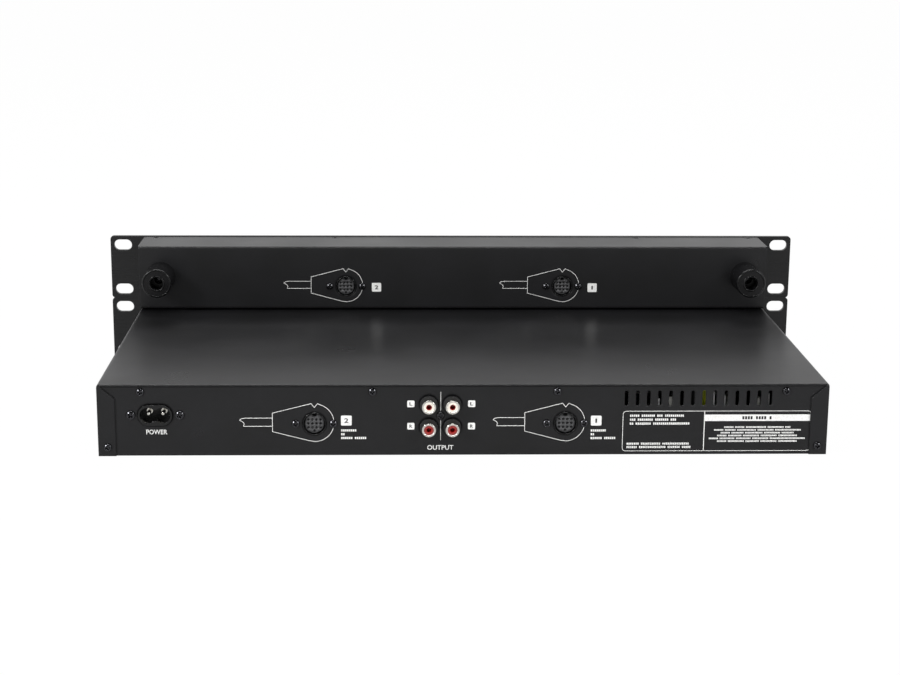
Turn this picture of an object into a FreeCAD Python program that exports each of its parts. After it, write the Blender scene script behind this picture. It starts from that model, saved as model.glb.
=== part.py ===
import FreeCAD, Part
import math
import os

# Twin-deck disc player for a 19 inch rack, in millimetres: a player one rack unit high,
# with two motor trays, and a shallow control unit one rack unit high that stands on it.
# +X is to the right as seen from the front, the front faces -Y, +Z is up. The origin is
# the centre of the player's underside. Deck 1 is the left one from the front.

V = FreeCAD.Vector

# ---- driving dimensions: racking ----
PANEL_W = 482.6            # 19 inch panel
PANEL_H = 44.4             # one unit, less a hair
UNIT_PITCH = 44.45         # the control unit's panel stands this far above the player's
PANEL_T = 3.0
PANEL_CORNER_R = 2.3
EAR_W = 24.05              # panel beyond the case, each side
SLOT_IN = 8.75             # slot centre in from the panel's end
SLOT_SPACING_Z = 31.75
SLOT_LENGTH = 12.4
SLOT_R = 3.8

# ---- driving dimensions: player case ----
BODY_D = 236.0             # panel's back face to the rear edge
CASE_H = 43.7              # both cases
SHEET = 1.0
BEND_R = 1.3
REAR_EDGE_R = 0.6
COVER_GAP = 0.1            # chassis sides to cover sides
REAR_FLANGE_W = 10.5
REAR_FLANGE_CHAMFER = 7.5
CHASSIS_LIP_H = 12.0
COVER_LIP_H = 4.0          # hidden rear lip below its screws

# ---- driving dimensions: control unit case ----
CONTROL_D = 37.7           # panel's back face to its rear face
PAD_T = 1.1                # stick-on pads it stands on
PAD_R = 5.0
PAD_IN = 30.0              # pad in from the case's side
FOOT_LEN = 25.0
FOOT_R = 9.9
FOOT_BASE_R = 10.1
FOOT_BORE_R = 4.4
FOOT_BORE_FLOOR = 9.0      # rubber left under the screw head
FOOT_LIP_R = 5.4           # raised lip round the bore
FOOT_GROOVE_R = 8.7
FOOT_GROOVE_DEPTH = 0.5
FOOT_IN = 15.2             # foot axis in from the case's side
FOOT_UP = 22.9             # above the control unit's underside

# ---- driving dimensions: decks, behind the panel's back face ----
MIDDLE_HALF = 41.0         # buttons between the decks, half of their width
DISC_IN = 66.0             # spindle axis
DISC_R = 60.0
TRAY_W = 130.0
TRAY_BOTTOM = 20.0
TRAY_T = 5.0
TRAY_LEN = 160.0
TRAY_SLOT_HALF = 20.0      # half of the slot that clears turntable and pickup
TRAY_RECESS_EXTRA = 1.0    # disc recess radius beyond the disc
TRAY_FLOOR = 2.0
TRAY_SIDE_GAP = 0.5
TRAY_RUN_GAP = 0.4
BEZEL_OVER = 6.0           # bezel beyond the tray, each side
BEZEL_H = 14.0
BEZEL_T = 3.4
BEZEL_BOTTOM = 14.6
BEZEL_GAP = 0.5            # bezel to the panel's opening, all round
BEZEL_BACK_GAP = 0.3       # bezel to the chassis front wall
MOUTH_GAP = 1.0            # tray and rack to the open-topped mouth in the chassis

GEAR_MODULE = 1.0
GEAR_TEETH = 20
GEAR_T = 3.0
GEAR_ADDENDUM = 0.9
GEAR_DEDENDUM = 1.2
GEAR_BACKLASH = 0.16       # taken off each flank
GEAR_IN = 20.0             # gear axis
GEAR_DROP = 1.0            # gear's top below the tray
RACK_SIDE_IN = 11.0        # rack's pitch line in from the tray's side
RACK_BACK_T = 2.8
RACK_FRONT_IN = 14.0
RACK_DROP = 4.5            # rack below the tray's underside

FRAME_WALL = 3.5
FRAME_GAP = 0.5            # frame to the chassis front wall
FRAME_LEN = 166.5
FRAME_BOTTOM = 4.0
FRAME_TOP = 31.0
FRAME_FLOOR_T = 2.0
LEDGE_W, LEDGE_T = 5.5, 2.6
KEEPER_W, KEEPER_T = 3.5, 2.0
BASE_HALF_W = 25.0
BASE_PLATE_BOTTOM = 14.0
BASE_PLATE_T = 2.0
BASE_WALL = 1.5            # turned-down edges
BASE_SKIRT_H = 2.5
BASE_AHEAD = 18.0          # base plate ahead of the spindle
PIVOT_BEHIND = 84.0        # pivot behind the spindle
PIVOT_Z = 15.0
PIVOT_R = 1.5
PIVOT_CLEARANCE = 0.05
ROD_R = 1.0
ROD_U = 17.0
ROD_Z = 18.0
ROD_CLEARANCE = 0.1
SPINDLE_MOTOR_R = 11.0
SPINDLE_MOTOR_H = 5.4
TURNTABLE_R = 15.0
DISC_SEAT_Z = 24.0
HUB_R = 7.3
HUB_TOP_Z = 26.4
SHAFT_R = 1.0
SHAFT_CLEARANCE = 0.05
BRIDGE_HALF_D = 11.0        # clamp bridge, half of its depth
BRIDGE_T = 1.0
BRIDGE_RIB_H = 2.0
BRIDGE_EYE_R = 17.0
PUCK_R = 15.0
PUCK_T = 2.8
PUCK_BOTTOM = 25.4
PUCK_NECK_R = 5.9
PUCK_NECK_GAP = 0.4
PUCK_COLLAR_R = 8.6
PUCK_COLLAR_T = 1.2
MOTOR_R = 9.8              # loading motor
MOTOR_CLEARANCE = 1.0      # loading motor's can to the gear above it
FINGER_R = 9.0             # openings at the tray's front corners
FINGER_U, FINGER_AHEAD = 44.0, 50.0
SMALL_DISC_R = 41.0
SMALL_DISC_STEP = 0.9
PICKUP_BEHIND = 20.5       # parked pickup behind the spindle
PICKUP_LEN = 14.5
PICKUP_TRAVEL = 34.0

# ---- driving dimensions: front controls ----
BUTTON_GAP = 0.25          # cap to its hole, all round
BUTTON_PROUD = 1.6
BUTTON_TRAVEL = 1.0
BUTTON_FLANGE = 0.8        # flange beyond the cap, all round
BUTTON_FLANGE_T = 1.0
BUTTON_R = 1.2
KEY_STEM, KEY_STEM_R = 5.0, 1.6    # stem behind the panel
POWER_STEM, POWER_STEM_R = 12.0, 2.5
POWER_W, POWER_H = 17.0, 10.0
POWER_PROUD = 4.0
POWER_TRAVEL = 3.0
OPEN_W, OPEN_H = 14.0, 6.5
OPEN_X = 27.0
CONTROL_DECK_X = 107.5     # centre of each half of the control unit
WINDOW_W, WINDOW_H = 62.0, 25.0
WINDOW_X, WINDOW_UP = -62.0, 23.4
JOG_R = 18.0
JOG_T = 11.0
JOG_X = -4.0
JOG_FACE_GAP = 0.6
JOG_SHAFT_R = 3.0
JOG_BUSH_R = 4.5
JOG_NOTCHES = 24
JOG_NOTCH_R = 0.9
JOG_DISH_IN = 4.0          # dish in from the wheel's rim
JOG_DISH_DEPTH = 1.0
JOG_DIMPLE_R = 9.0
JOG_DIMPLE_DEPTH = 2.6
BOARD_BEHIND = 14.0        # control unit's board behind the panel
SWITCH_HALF = 3.0
FADER_X, FADER_UP = 81.0, 13.0
FADER_TRAVEL = 13.0        # each way from the middle
FADER_SLOT_H = 2.2
FADER_CAP_W, FADER_CAP_H, FADER_CAP_T = 8.0, 14.0, 8.5
FADER_STEM_W = 3.0
FADER_STEM_H = 1.4
FADER_REACH = 8.0          # stem behind the panel

# one row per button of a half: name, x, height above the unit's underside, width, height
BUTTONS = [
    ("cue", 30.0, 13.0, 16.0, 10.0),
    ("play", 51.0, 13.0, 16.0, 10.0),
    ("skip_back", 30.0, 31.5, 14.0, 6.5),
    ("skip_next", 51.0, 31.5, 14.0, 6.5),
    ("pitch", 81.0, 31.5, 14.0, 6.5),
]

# ---- driving dimensions: rear sockets ----
MAINS_IN = 34.0            # centre in from the case's right side
MAINS_Z = 25.0
MAINS_W, MAINS_H = 20.2, 12.8
MAINS_PROUD = 1.2
MAINS_PIN_PITCH = 8.6
MAINS_PIN_R = 1.2
MAINS_CAVITY_R = 4.75
MAINS_DEPTH = 15.0
MAINS_WALL_BACK = 3.0      # closed end of the well
MAINS_FLANGE_T = 2.0
MAINS_SHORT = 2.5          # pin tips behind the panel's face
MAINS_SCREW_DX = 14.45
LINK_R = 6.9
LINK_INSERT_R = 5.75
LINK_SHELL_BORE_R = 6.4
LINK_DEPTH = 13.0
LINK_SCREW_DX = 11.15
LINK_CONTACT_R = 0.55
LINK_CONTACT_PITCH = 2.45
LINK_CONTACT_DEPTH = 7.0
PLAYER_LINK_Z = 19.45
PLAYER_LINKS_X = (-60.0, 89.3)
CONTROL_LINK_UP = 15.9
CONTROL_LINKS_X = (-75.0, 74.8)
PHONO_X, PHONO_Z = 14.5, 24.4
PHONO_PITCH = 14.0
PHONO_R = 4.15
PHONO_NECK_R = 3.95        # barrel inside its collar
PHONO_BORE_R = 3.2
PHONO_HOLE_R = 1.65        # plug pin's hole in the insert
PHONO_BACK = 8.0           # barrels and inserts behind the panel
PHONO_BLOCK_D = 12.0
PHONO_RIM_R = 0.25
PHONO_LEN = 8.0            # beyond the rear panel
PHONO_COLLAR_R = 5.3
PHONO_COLLAR_LEN = 2.2
PHONO_WALL = 1.5           # block beyond its collars
VENT_COUNT = 14
VENT_PITCH = 6.62
VENT_W = 2.1
VENT_BOTTOM, VENT_TOP = 30.2, 39.5
VENT_IN = 35.0             # last vent in from the case's left side

# ---- driving dimensions: screws ----
SCREW_HEAD_R = 2.5
SCREW_HEAD_H = 1.7
SCREW_SHANK_R = 1.3
SCREW_HOLE_R = 1.4
SCREW_LEN = 6.0
FRAME_SCREW_R = 3.0
REAR_TOP_SCREW_IN = 25.5   # in from each side
REAR_TOP_SCREW_MID = 54.9  # from the middle
REAR_TOP_SCREW_Z = 39.1    # through the cover's hidden lip
REAR_LOW_SCREW_IN, REAR_LOW_SCREW_Z = 5.6, 5.4
SIDE_SCREW_END = 28.0      # first and last side screw from the case's ends
SIDE_SCREW_Z = 6.0
MAINS_SCREW_HEAD_R = 2.9
FRAME_SCREW_LEN = 8.0
TOP_SCREW_R = 2.3          # flat screws along the control unit's top
COUNTERSINK_GAP = 0.1
FOOT_SCREW_R, FOOT_SCREW_H = 3.3, 2.4
CONTROL_END_SCREWS_IN = (7.5, 8.5)       # flat screws at the top's left and right ends
CONTROL_MID_SCREWS_U = (-22.05, -24.45)  # the other two, from the centres of the two halves
CONTROL_TOP_SCREW_BACK = 5.0

# ---- driving dimensions: boards ----
BOARD_T = 1.6
BOARD_Z = 8.0
BOARD_DEPTH = 58.0         # front edges ahead of the rear panel
POWER_BOARD_IN = (12.0, 141.0)     # its two ends, from the case's left side
POWER_BOARD_BACK = 4.0
SERVO_BOARD_X = (-38.0, 150.0)
SERVO_BOARD_BACK = 20.0
SPACER_R = 2.8
SPACER_IN = 5.0
SWITCH_GAP = 0.4           # power button's stem to its switch, when pressed

# ---- derived places ----
CASE_HALF = PANEL_W / 2 - EAR_W        # both cases
SLOT_SPACING_X = PANEL_W - 2 * SLOT_IN
PANEL_BACK = -BODY_D / 2
PANEL_FRONT = PANEL_BACK - PANEL_T
REAR_EDGE = BODY_D / 2
REAR_FACE = REAR_EDGE - SHEET          # rear panel's outer face, behind the flanges
REAR_IN = REAR_FACE - SHEET            # rear panel's inner face
CONTROL_BOTTOM = CASE_H + PAD_T        # it stands on the player
CONTROL_TOP = CONTROL_BOTTOM + CASE_H
CONTROL_REAR = PANEL_BACK + CONTROL_D
REAR_TOP_SCREWS_X = (CASE_HALF - REAR_TOP_SCREW_IN, REAR_TOP_SCREW_MID,
                     -REAR_TOP_SCREW_MID, REAR_TOP_SCREW_IN - CASE_HALF)
REAR_LOW_SCREW_X = CASE_HALF - REAR_LOW_SCREW_IN
SIDE_SCREWS_Y = (PANEL_BACK + SIDE_SCREW_END, 0.0, REAR_EDGE - SIDE_SCREW_END)
CONTROL_TOP_SCREWS_X = (CONTROL_END_SCREWS_IN[0] - CASE_HALF, CONTROL_MID_SCREWS_U[0] - CONTROL_DECK_X,
                        CONTROL_MID_SCREWS_U[1] + CONTROL_DECK_X, CASE_HALF - CONTROL_END_SCREWS_IN[1])
MAINS_X = CASE_HALF - MAINS_IN
VENTS_X = [VENT_IN - CASE_HALF + i * VENT_PITCH for i in range(VENT_COUNT)]
BEZEL_W = TRAY_W + 2 * BEZEL_OVER
BEZEL_MID_Z = BEZEL_BOTTOM + BEZEL_H / 2
DECK_X = MIDDLE_HALF + BEZEL_W / 2
DISC_Y = PANEL_BACK + DISC_IN
TRAY_TOP = TRAY_BOTTOM + TRAY_T
TRAY_FRONT = PANEL_BACK - BEZEL_BACK_GAP
TRAY_BACK = TRAY_FRONT + TRAY_LEN
FRAME_FRONT = PANEL_BACK + SHEET + FRAME_GAP
FRAME_BACK = FRAME_FRONT + FRAME_LEN
BASE_FRONT = DISC_Y - BASE_AHEAD
PIVOT_Y = DISC_Y + PIVOT_BEHIND
PICKUP_FRONT = DISC_Y + PICKUP_BEHIND
PICKUP_END = PICKUP_FRONT + PICKUP_LEN + PICKUP_TRAVEL
GEAR_PITCH_R = GEAR_MODULE * GEAR_TEETH / 2
RACK_U = RACK_SIDE_IN - TRAY_W / 2     # rack's pitch line from the deck's centre
GEAR_U = RACK_U + GEAR_PITCH_R         # gear axis from the deck's centre
GEAR_Y = PANEL_BACK + GEAR_IN
GEAR_BOTTOM = TRAY_BOTTOM - GEAR_DROP - GEAR_T
RACK_FRONT_Y = PANEL_BACK + RACK_FRONT_IN
DECKS = [(1, -DECK_X), (2, DECK_X)]
HALVES = [(1, -CONTROL_DECK_X), (2, CONTROL_DECK_X)]


# ---- helpers ----
def box(x0, x1, y0, y1, z0, z1):
    """A block between two corners, given in any order."""
    lo = V(min(x0, x1), min(y0, y1), min(z0, z1))
    return Part.makeBox(abs(x1 - x0), abs(y1 - y0), abs(z1 - z0), lo)


def rod_x(r, x0, x1, y, z):
    return Part.makeCylinder(r, x1 - x0, V(x0, y, z), V(1, 0, 0))


def rod_y(r, y0, y1, x, z):
    return Part.makeCylinder(r, y1 - y0, V(x, y0, z), V(0, 1, 0))


def rod_z(r, z0, z1, x, y):
    return Part.makeCylinder(r, z1 - z0, V(x, y, z0), V(0, 0, 1))


def tube_y(outer, inner, y0, y1, x, z):
    return rod_y(outer, y0, y1, x, z).cut(rod_y(inner, y0 - 1, y1 + 1, x, z))


def fuse(*shapes):
    out = shapes[0]
    for s in shapes[1:]:
        out = out.fuse(s)
    return out.removeSplitter()


def cut(shape, *tools):
    out = shape
    for t in tools:
        out = out.cut(t)
    return out


def pad_y(w, h, r, y0, y1, x, z):
    """A rounded rectangle w by h about (x, z), drawn out along Y."""
    r = min(r, w / 2 - 0.01, h / 2 - 0.01)
    b = box(x - w / 2, x + w / 2, y0, y1, z - h / 2, z + h / 2)
    return b.makeFillet(r, [e for e in b.Edges if runs_along(e, V(0, 1, 0))])


def runs_along(edge, direction):
    if not isinstance(edge.Curve, Part.Line):
        return False
    return abs(abs(edge.Curve.Direction.dot(direction)) - 1) < 1e-6


def slot_y(length, r, y0, y1, x, z):
    """An obround along X about (x, z), drawn out along Y."""
    half = length / 2 - r
    middle = box(x - half, x + half, y0, y1, z - r, z + r)
    return fuse(middle, rod_y(r, y0, y1, x - half, z), rod_y(r, y0, y1, x + half, z))


def slot_up_y(height, r, y0, y1, x, z):
    """An obround along Z about (x, z), drawn out along Y."""
    half = height / 2 - r
    middle = box(x - r, x + r, y0, y1, z - half, z + half)
    return fuse(middle, rod_y(r, y0, y1, x, z - half), rod_y(r, y0, y1, x, z + half))


def prism_z(points, z0, z1):
    """A polygon of (x, y) points, drawn out along Z."""
    wire = Part.makePolygon([V(x, y, z0) for x, y in points + points[:1]])
    return Part.Face(wire).extrude(V(0, 0, z1 - z0))


def prism_y(points, y0, y1):
    """A polygon of (x, z) points, drawn out along Y."""
    wire = Part.makePolygon([V(x, y0, z) for x, z in points + points[:1]])
    return Part.Face(wire).extrude(V(0, y1 - y0, 0))


def edges_at(shape, test, direction):
    """Straight edges along a direction whose middle point passes the test."""
    found = []
    for e in shape.Edges:
        if runs_along(e, direction) and test(e.CenterOfMass):
            found.append(e)
    return found


def pan_screw(head_r=SCREW_HEAD_R, head_h=SCREW_HEAD_H, length=SCREW_LEN):
    """A cross-head screw at the origin: its head stands along +Z, its shank goes along -Z."""
    head = rod_z(head_r, 0, head_h, 0, 0)
    head = head.makeFillet(head_h * 0.6, [e for e in head.Edges if e.CenterOfMass.z > head_h * 0.9
                                          and isinstance(e.Curve, Part.Circle)])
    arm, slit = head_r * 0.62, head_r * 0.13
    cross = fuse(box(-arm, arm, -slit, slit, head_h * 0.35, head_h + 1),
                 box(-slit, slit, -arm, arm, head_h * 0.35, head_h + 1))
    return fuse(head.cut(cross), rod_z(SCREW_SHANK_R, -length, 0, 0, 0))


def flat_screw(head_r, length):
    """A countersunk screw at the origin: its flat head faces +Z at z = 0, its shank goes along -Z."""
    depth = head_r - SCREW_SHANK_R
    head = Part.makeCone(SCREW_SHANK_R, head_r, depth, V(0, 0, -depth))
    arm, slit = head_r * 0.6, head_r * 0.13
    cross = fuse(box(-arm, arm, -slit, slit, -depth / 2, 1), box(-slit, slit, -arm, arm, -depth / 2, 1))
    return fuse(head.cut(cross), rod_z(SCREW_SHANK_R, -length, -depth, 0, 0))


def countersink(head_r, x, y, z, up):
    """The hole for a flat screw whose head lies at height z and faces up (1) or down (-1)."""
    depth = head_r - SCREW_SHANK_R
    inwards = V(0, 0, -up)
    small = SCREW_SHANK_R + COUNTERSINK_GAP
    cone = Part.makeCone(head_r + COUNTERSINK_GAP, small, depth, V(x, y, z), inwards)
    return cone.fuse(Part.makeCylinder(small, SCREW_LEN, V(x, y, z), inwards))


TURNS = {"+y": (V(1, 0, 0), -90), "+x": (V(0, 1, 0), 90), "-x": (V(0, 1, 0), -90),
         "+z": (V(0, 0, 1), 0), "-z": (V(1, 0, 0), 180)}


def place(shape, facing, x, y, z, spin=0):
    """A copy whose +Z is turned to face an axis, spun about itself and moved to a point."""
    out = shape.copy()
    out.rotate(V(0, 0, 0), V(0, 0, 1), spin)
    axis, angle = TURNS[facing]
    out.rotate(V(0, 0, 0), axis, angle)
    out.translate(V(x, y, z))
    return out


def half_buttons(deck_x):
    """(name, x, z, w, h) of each button of one half of the control unit."""
    return [(name, deck_x + x, CONTROL_BOTTOM + up, w, h) for name, x, up, w, h in BUTTONS]


# ---- front panels ----
def rack_panel(bottom):
    """A bare 19 inch panel with its four open-through slots."""
    middle = bottom + PANEL_H / 2
    panel = pad_y(PANEL_W, PANEL_H, PANEL_CORNER_R, PANEL_FRONT, PANEL_BACK, 0, middle)
    for sx in (-1, 1):
        for sz in (-1, 1):
            panel = panel.cut(slot_y(SLOT_LENGTH, SLOT_R, PANEL_FRONT - 1, PANEL_BACK + 1,
                                     sx * SLOT_SPACING_X / 2, middle + sz * SLOT_SPACING_Z / 2))
    return panel


def button_hole(w, h, x, z, y0=PANEL_FRONT - 1, y1=PANEL_BACK + 1):
    return pad_y(w + 2 * BUTTON_GAP, h + 2 * BUTTON_GAP, BUTTON_R + BUTTON_GAP, y0, y1, x, z)


def player_front_panel():
    panel = rack_panel(0)
    for _, deck_x in DECKS:
        panel = panel.cut(pad_y(BEZEL_W + 2 * BEZEL_GAP, BEZEL_H + 2 * BEZEL_GAP, 1.5,
                                PANEL_FRONT - 1, PANEL_BACK + 1, deck_x, BEZEL_MID_Z))
    for sx in (-1, 1):
        panel = panel.cut(button_hole(OPEN_W, OPEN_H, sx * OPEN_X, BEZEL_MID_Z))
    return panel.cut(button_hole(POWER_W, POWER_H, 0, BEZEL_MID_Z))


def control_front_panel():
    panel = rack_panel(UNIT_PITCH)
    for _, deck_x in HALVES:
        y0, y1 = PANEL_FRONT - 1, PANEL_BACK + 1
        panel = cut(panel,
                    pad_y(WINDOW_W, WINDOW_H, 1.5, y0, y1, deck_x + WINDOW_X, CONTROL_BOTTOM + WINDOW_UP),
                    rod_y(JOG_BUSH_R + BUTTON_GAP, y0, y1, deck_x + JOG_X, CONTROL_BOTTOM + CASE_H / 2),
                    slot_y(2 * FADER_TRAVEL + FADER_STEM_W + 2, FADER_SLOT_H / 2, y0, y1,
                           deck_x + FADER_X, CONTROL_BOTTOM + FADER_UP))
        for _, x, z, w, h in half_buttons(deck_x):
            panel = panel.cut(button_hole(w, h, x, z))
    return panel


# ---- player case ----
def link_holes(links_x, z, y0, y1):
    """Panel holes for link sockets: the shell's hole and its two screw holes."""
    tools = []
    for x in links_x:
        tools.append(rod_y(LINK_R + 0.2, y0, y1, x, z))
        for s in (-1, 1):
            tools.append(rod_y(SCREW_HOLE_R, y0, y1, x + s * LINK_SCREW_DX, z))
    return tools


def phono_places():
    """The four jacks as (x, z, is_upper)."""
    half = PHONO_PITCH / 2
    return [(PHONO_X + sx * half, PHONO_Z + sz * half, sz > 0) for sz in (1, -1) for sx in (-1, 1)]


def player_chassis():
    """Folded tray: floor, rear panel, low side lips, and a front sill with tabs beside the tray mouths."""
    hw = CASE_HALF - SHEET - COVER_GAP
    top = CASE_H - SHEET
    front_in = PANEL_BACK + SHEET
    shell = fuse(box(-hw, hw, PANEL_BACK, REAR_FACE, 0, SHEET),
                 box(-hw, hw, REAR_IN, REAR_FACE, 0, top),
                 box(-hw, hw, PANEL_BACK, front_in, 0, top),
                 box(-hw, -hw + SHEET, PANEL_BACK, REAR_FACE, 0, CHASSIS_LIP_H),
                 box(hw - SHEET, hw, PANEL_BACK, REAR_FACE, 0, CHASSIS_LIP_H))
    y0, y1 = REAR_IN - 1, REAR_FACE + 1
    tools = link_holes(PLAYER_LINKS_X, PLAYER_LINK_Z, y0, y1)
    tools.append(slot_y(MAINS_W + 0.4, MAINS_H / 2 + 0.2, y0, y1, MAINS_X, MAINS_Z))
    tools += [rod_y(SCREW_HOLE_R, y0, y1, MAINS_X + s * MAINS_SCREW_DX, MAINS_Z) for s in (-1, 1)]
    tools += [rod_y(PHONO_COLLAR_R + 0.15, y0, y1, x, z) for x, z, _ in phono_places()]
    tools.append(rod_y(SCREW_HOLE_R, y0, y1, PHONO_X, PHONO_Z))
    tools += [rod_y(SCREW_HOLE_R, y0, y1, x, REAR_TOP_SCREW_Z) for x in REAR_TOP_SCREWS_X]
    tools += [rod_y(SCREW_HOLE_R, y0, y1, s * REAR_LOW_SCREW_X, REAR_LOW_SCREW_Z) for s in (-1, 1)]
    tools += vents(y0, y1)
    tools += [rod_x(SCREW_HOLE_R, s * hw - 2, s * hw + 2, y, SIDE_SCREW_Z)
              for s in (-1, 1) for y in SIDE_SCREWS_Y]
    tools += [countersink(FRAME_SCREW_R, x, y, 0, -1) for x, y in frame_screw_places()]
    y0, y1 = PANEL_BACK - 1, front_in + 1
    mouth = TRAY_W / 2 + MOUTH_GAP
    mouth_bottom = TRAY_BOTTOM - RACK_DROP - MOUTH_GAP / 2
    for _, x in DECKS:
        tools.append(box(x - mouth, x + mouth, y0, y1, mouth_bottom, CASE_H))
    wider = 2 * BUTTON_FLANGE
    for w, h, x in ((OPEN_W, OPEN_H, -OPEN_X), (OPEN_W, OPEN_H, OPEN_X), (POWER_W, POWER_H, 0)):
        tools.append(button_hole(w + wider, h + wider, x, BEZEL_MID_Z, y0, y1))
    return cut(shell, *tools)


def vents(y0, y1):
    height = VENT_TOP - VENT_BOTTOM
    middle = (VENT_TOP + VENT_BOTTOM) / 2
    return [slot_up_y(height, VENT_W / 2, y0, y1, x, middle) for x in VENTS_X]


def player_cover():
    """Top and sides from one sheet, with rear corner flanges and a hidden rear lip."""
    half = CASE_HALF
    outer = box(-half, half, PANEL_BACK, REAR_EDGE, 0, CASE_H)
    outer = outer.makeFillet(BEND_R, edges_at(outer, lambda c: c.z > CASE_H - 0.1, V(0, 1, 0)))
    rear_top = edges_at(outer, lambda c: c.z > CASE_H - 0.1 and c.y > REAR_EDGE - 0.1, V(1, 0, 0))
    outer = outer.makeFillet(REAR_EDGE_R, rear_top)
    inner = box(-half + SHEET, half - SHEET, PANEL_BACK - 1, REAR_EDGE + 1, -1, CASE_H - SHEET)
    cover = outer.cut(inner)
    edge, foot = half - REAR_FLANGE_W, CASE_H - SHEET
    for s in (-1, 1):
        outline = [(s * half, 0), (s * edge, 0), (s * edge, foot - REAR_FLANGE_CHAMFER),
                   (s * (half - SHEET), foot + SHEET / 2), (s * half, foot + SHEET / 2 - 1)]
        flange = prism_y(outline, REAR_FACE, REAR_EDGE)
        flange = flange.cut(rod_y(SCREW_HOLE_R, REAR_FACE - 1, REAR_EDGE + 1,
                                  s * REAR_LOW_SCREW_X, REAR_LOW_SCREW_Z))
        cover = cover.fuse(flange)
        for y in SIDE_SCREWS_Y:
            cover = cover.cut(rod_x(SCREW_HOLE_R, s * half - 2, s * half + 2, y, SIDE_SCREW_Z))
    end = half - REAR_FLANGE_W - SHEET
    y0, y1 = REAR_IN - SHEET, REAR_IN
    lip = box(-end, end, y0, y1, REAR_TOP_SCREW_Z - COVER_LIP_H, CASE_H - SHEET / 2)
    lip = cut(lip, *[rod_y(SCREW_HOLE_R, y0 - 1, y1 + 1, x, REAR_TOP_SCREW_Z) for x in REAR_TOP_SCREWS_X])
    lip = lip.cut(box(VENTS_X[0] - VENT_W, VENTS_X[-1] + VENT_W, y0 - 1, y1 + 1, 0, VENT_TOP + 0.6))
    span = phono_span() + 1.0
    lip = lip.cut(box(PHONO_X - span, PHONO_X + span, y0 - 1, y1 + 1, 0, PHONO_Z + span))
    return cover.fuse(lip).removeSplitter()


def rear_screw(x, z, y=REAR_FACE, spin=20, head_r=SCREW_HEAD_R):
    return place(pan_screw(head_r), "+y", x, y, z, spin)


def player_screws():
    """Every screw of the player: cover, rear sockets, sides, decks and front panel."""
    screws = [rear_screw(x, REAR_TOP_SCREW_Z, spin=17 * i) for i, x in enumerate(REAR_TOP_SCREWS_X)]
    screws += [rear_screw(s * REAR_LOW_SCREW_X, REAR_LOW_SCREW_Z, REAR_EDGE, 30 * s) for s in (-1, 1)]
    for s in (-1, 1):
        screws += [rear_screw(x + s * LINK_SCREW_DX, PLAYER_LINK_Z, spin=25 * s) for x in PLAYER_LINKS_X]
        screws.append(rear_screw(MAINS_X + s * MAINS_SCREW_DX, MAINS_Z, spin=12 + 20 * s,
                                 head_r=MAINS_SCREW_HEAD_R))
    screws.append(rear_screw(PHONO_X, PHONO_Z, spin=40))
    for y in SIDE_SCREWS_Y:
        screws.append(place(pan_screw(), "+x", CASE_HALF, y, SIDE_SCREW_Z, y))
        screws.append(place(pan_screw(), "-x", -CASE_HALF, y, SIDE_SCREW_Z, y))
    flat = flat_screw(FRAME_SCREW_R, FRAME_SCREW_LEN)
    screws += [place(flat, "-z", x, y, 0, x) for x, y in frame_screw_places()]
    return screws


# ---- rear sockets ----
def mains_inlet():
    """Two-pin inlet: an oval nose through the panel, a figure-of-eight well and a flange behind."""
    nose = slot_y(MAINS_W, MAINS_H / 2, REAR_IN - MAINS_DEPTH, REAR_FACE + MAINS_PROUD,
                  MAINS_X, MAINS_Z)
    flange = pad_y(2 * (MAINS_SCREW_DX + 4.5), MAINS_H + 2, 4, REAR_IN - MAINS_FLANGE_T, REAR_IN,
                   MAINS_X, MAINS_Z)
    y0, y1 = REAR_IN - MAINS_DEPTH + MAINS_WALL_BACK, REAR_FACE + MAINS_PROUD + 1
    half_pitch = MAINS_PIN_PITCH / 2
    well = fuse(*[rod_y(MAINS_CAVITY_R, y0, y1, MAINS_X + s * half_pitch, MAINS_Z) for s in (-1, 1)])
    waist = MAINS_CAVITY_R * 0.72
    throat = box(MAINS_X - 3, MAINS_X + 3, y0, y1, MAINS_Z - waist, MAINS_Z + waist)
    body = cut(fuse(nose, flange), fuse(well, throat))
    for s in (-1, 1):
        body = body.cut(rod_y(SCREW_HOLE_R, REAR_IN - 4, REAR_IN + 1, MAINS_X + s * MAINS_SCREW_DX, MAINS_Z))
        body = body.cut(mains_pin(s))
    return body


def mains_pin(s):
    """One contact pin with a domed tip and a solder tail."""
    x = MAINS_X + s * MAINS_PIN_PITCH / 2
    tip = REAR_FACE - MAINS_SHORT
    pin = rod_y(MAINS_PIN_R, REAR_IN - MAINS_DEPTH - 5, tip, x, MAINS_Z)
    return pin.makeFillet(MAINS_PIN_R * 0.6, [e for e in pin.Edges if isinstance(e.Curve, Part.Circle)
                                              and e.CenterOfMass.y > tip - 0.1])


def link_socket(x, z, face):
    """A thirteen-hole round socket: metal shell with fixing flange, and a moulded insert."""
    back = face - LINK_DEPTH
    shell = tube_y(LINK_R, LINK_SHELL_BORE_R, back, face + 0.5, x, z)
    wing = pad_y(2 * LINK_SCREW_DX + 7, 2 * LINK_R, 3, face - SHEET - 1.2, face - SHEET, x, z)
    wing = wing.cut(rod_y(LINK_SHELL_BORE_R, face - 10, face + 1, x, z))
    for s in (-1, 1):
        wing = wing.cut(rod_y(SCREW_HOLE_R, face - 4, face, x + s * LINK_SCREW_DX, z))
    insert = fuse(rod_y(LINK_INSERT_R, back, face - 0.6, x, z),
                  rod_y(LINK_SHELL_BORE_R, back, back + 3, x, z))
    y0 = face - LINK_CONTACT_DEPTH
    holes = [rod_y(LINK_CONTACT_R, y0, face, x + dx, z + dz) for dx, dz in link_contacts()]
    key = box(x - 1.3, x + 1.3, y0, face, z + LINK_INSERT_R - 1.7, z + LINK_INSERT_R + 1)
    return [fuse(shell, wing), cut(insert, key, *holes)]


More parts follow.
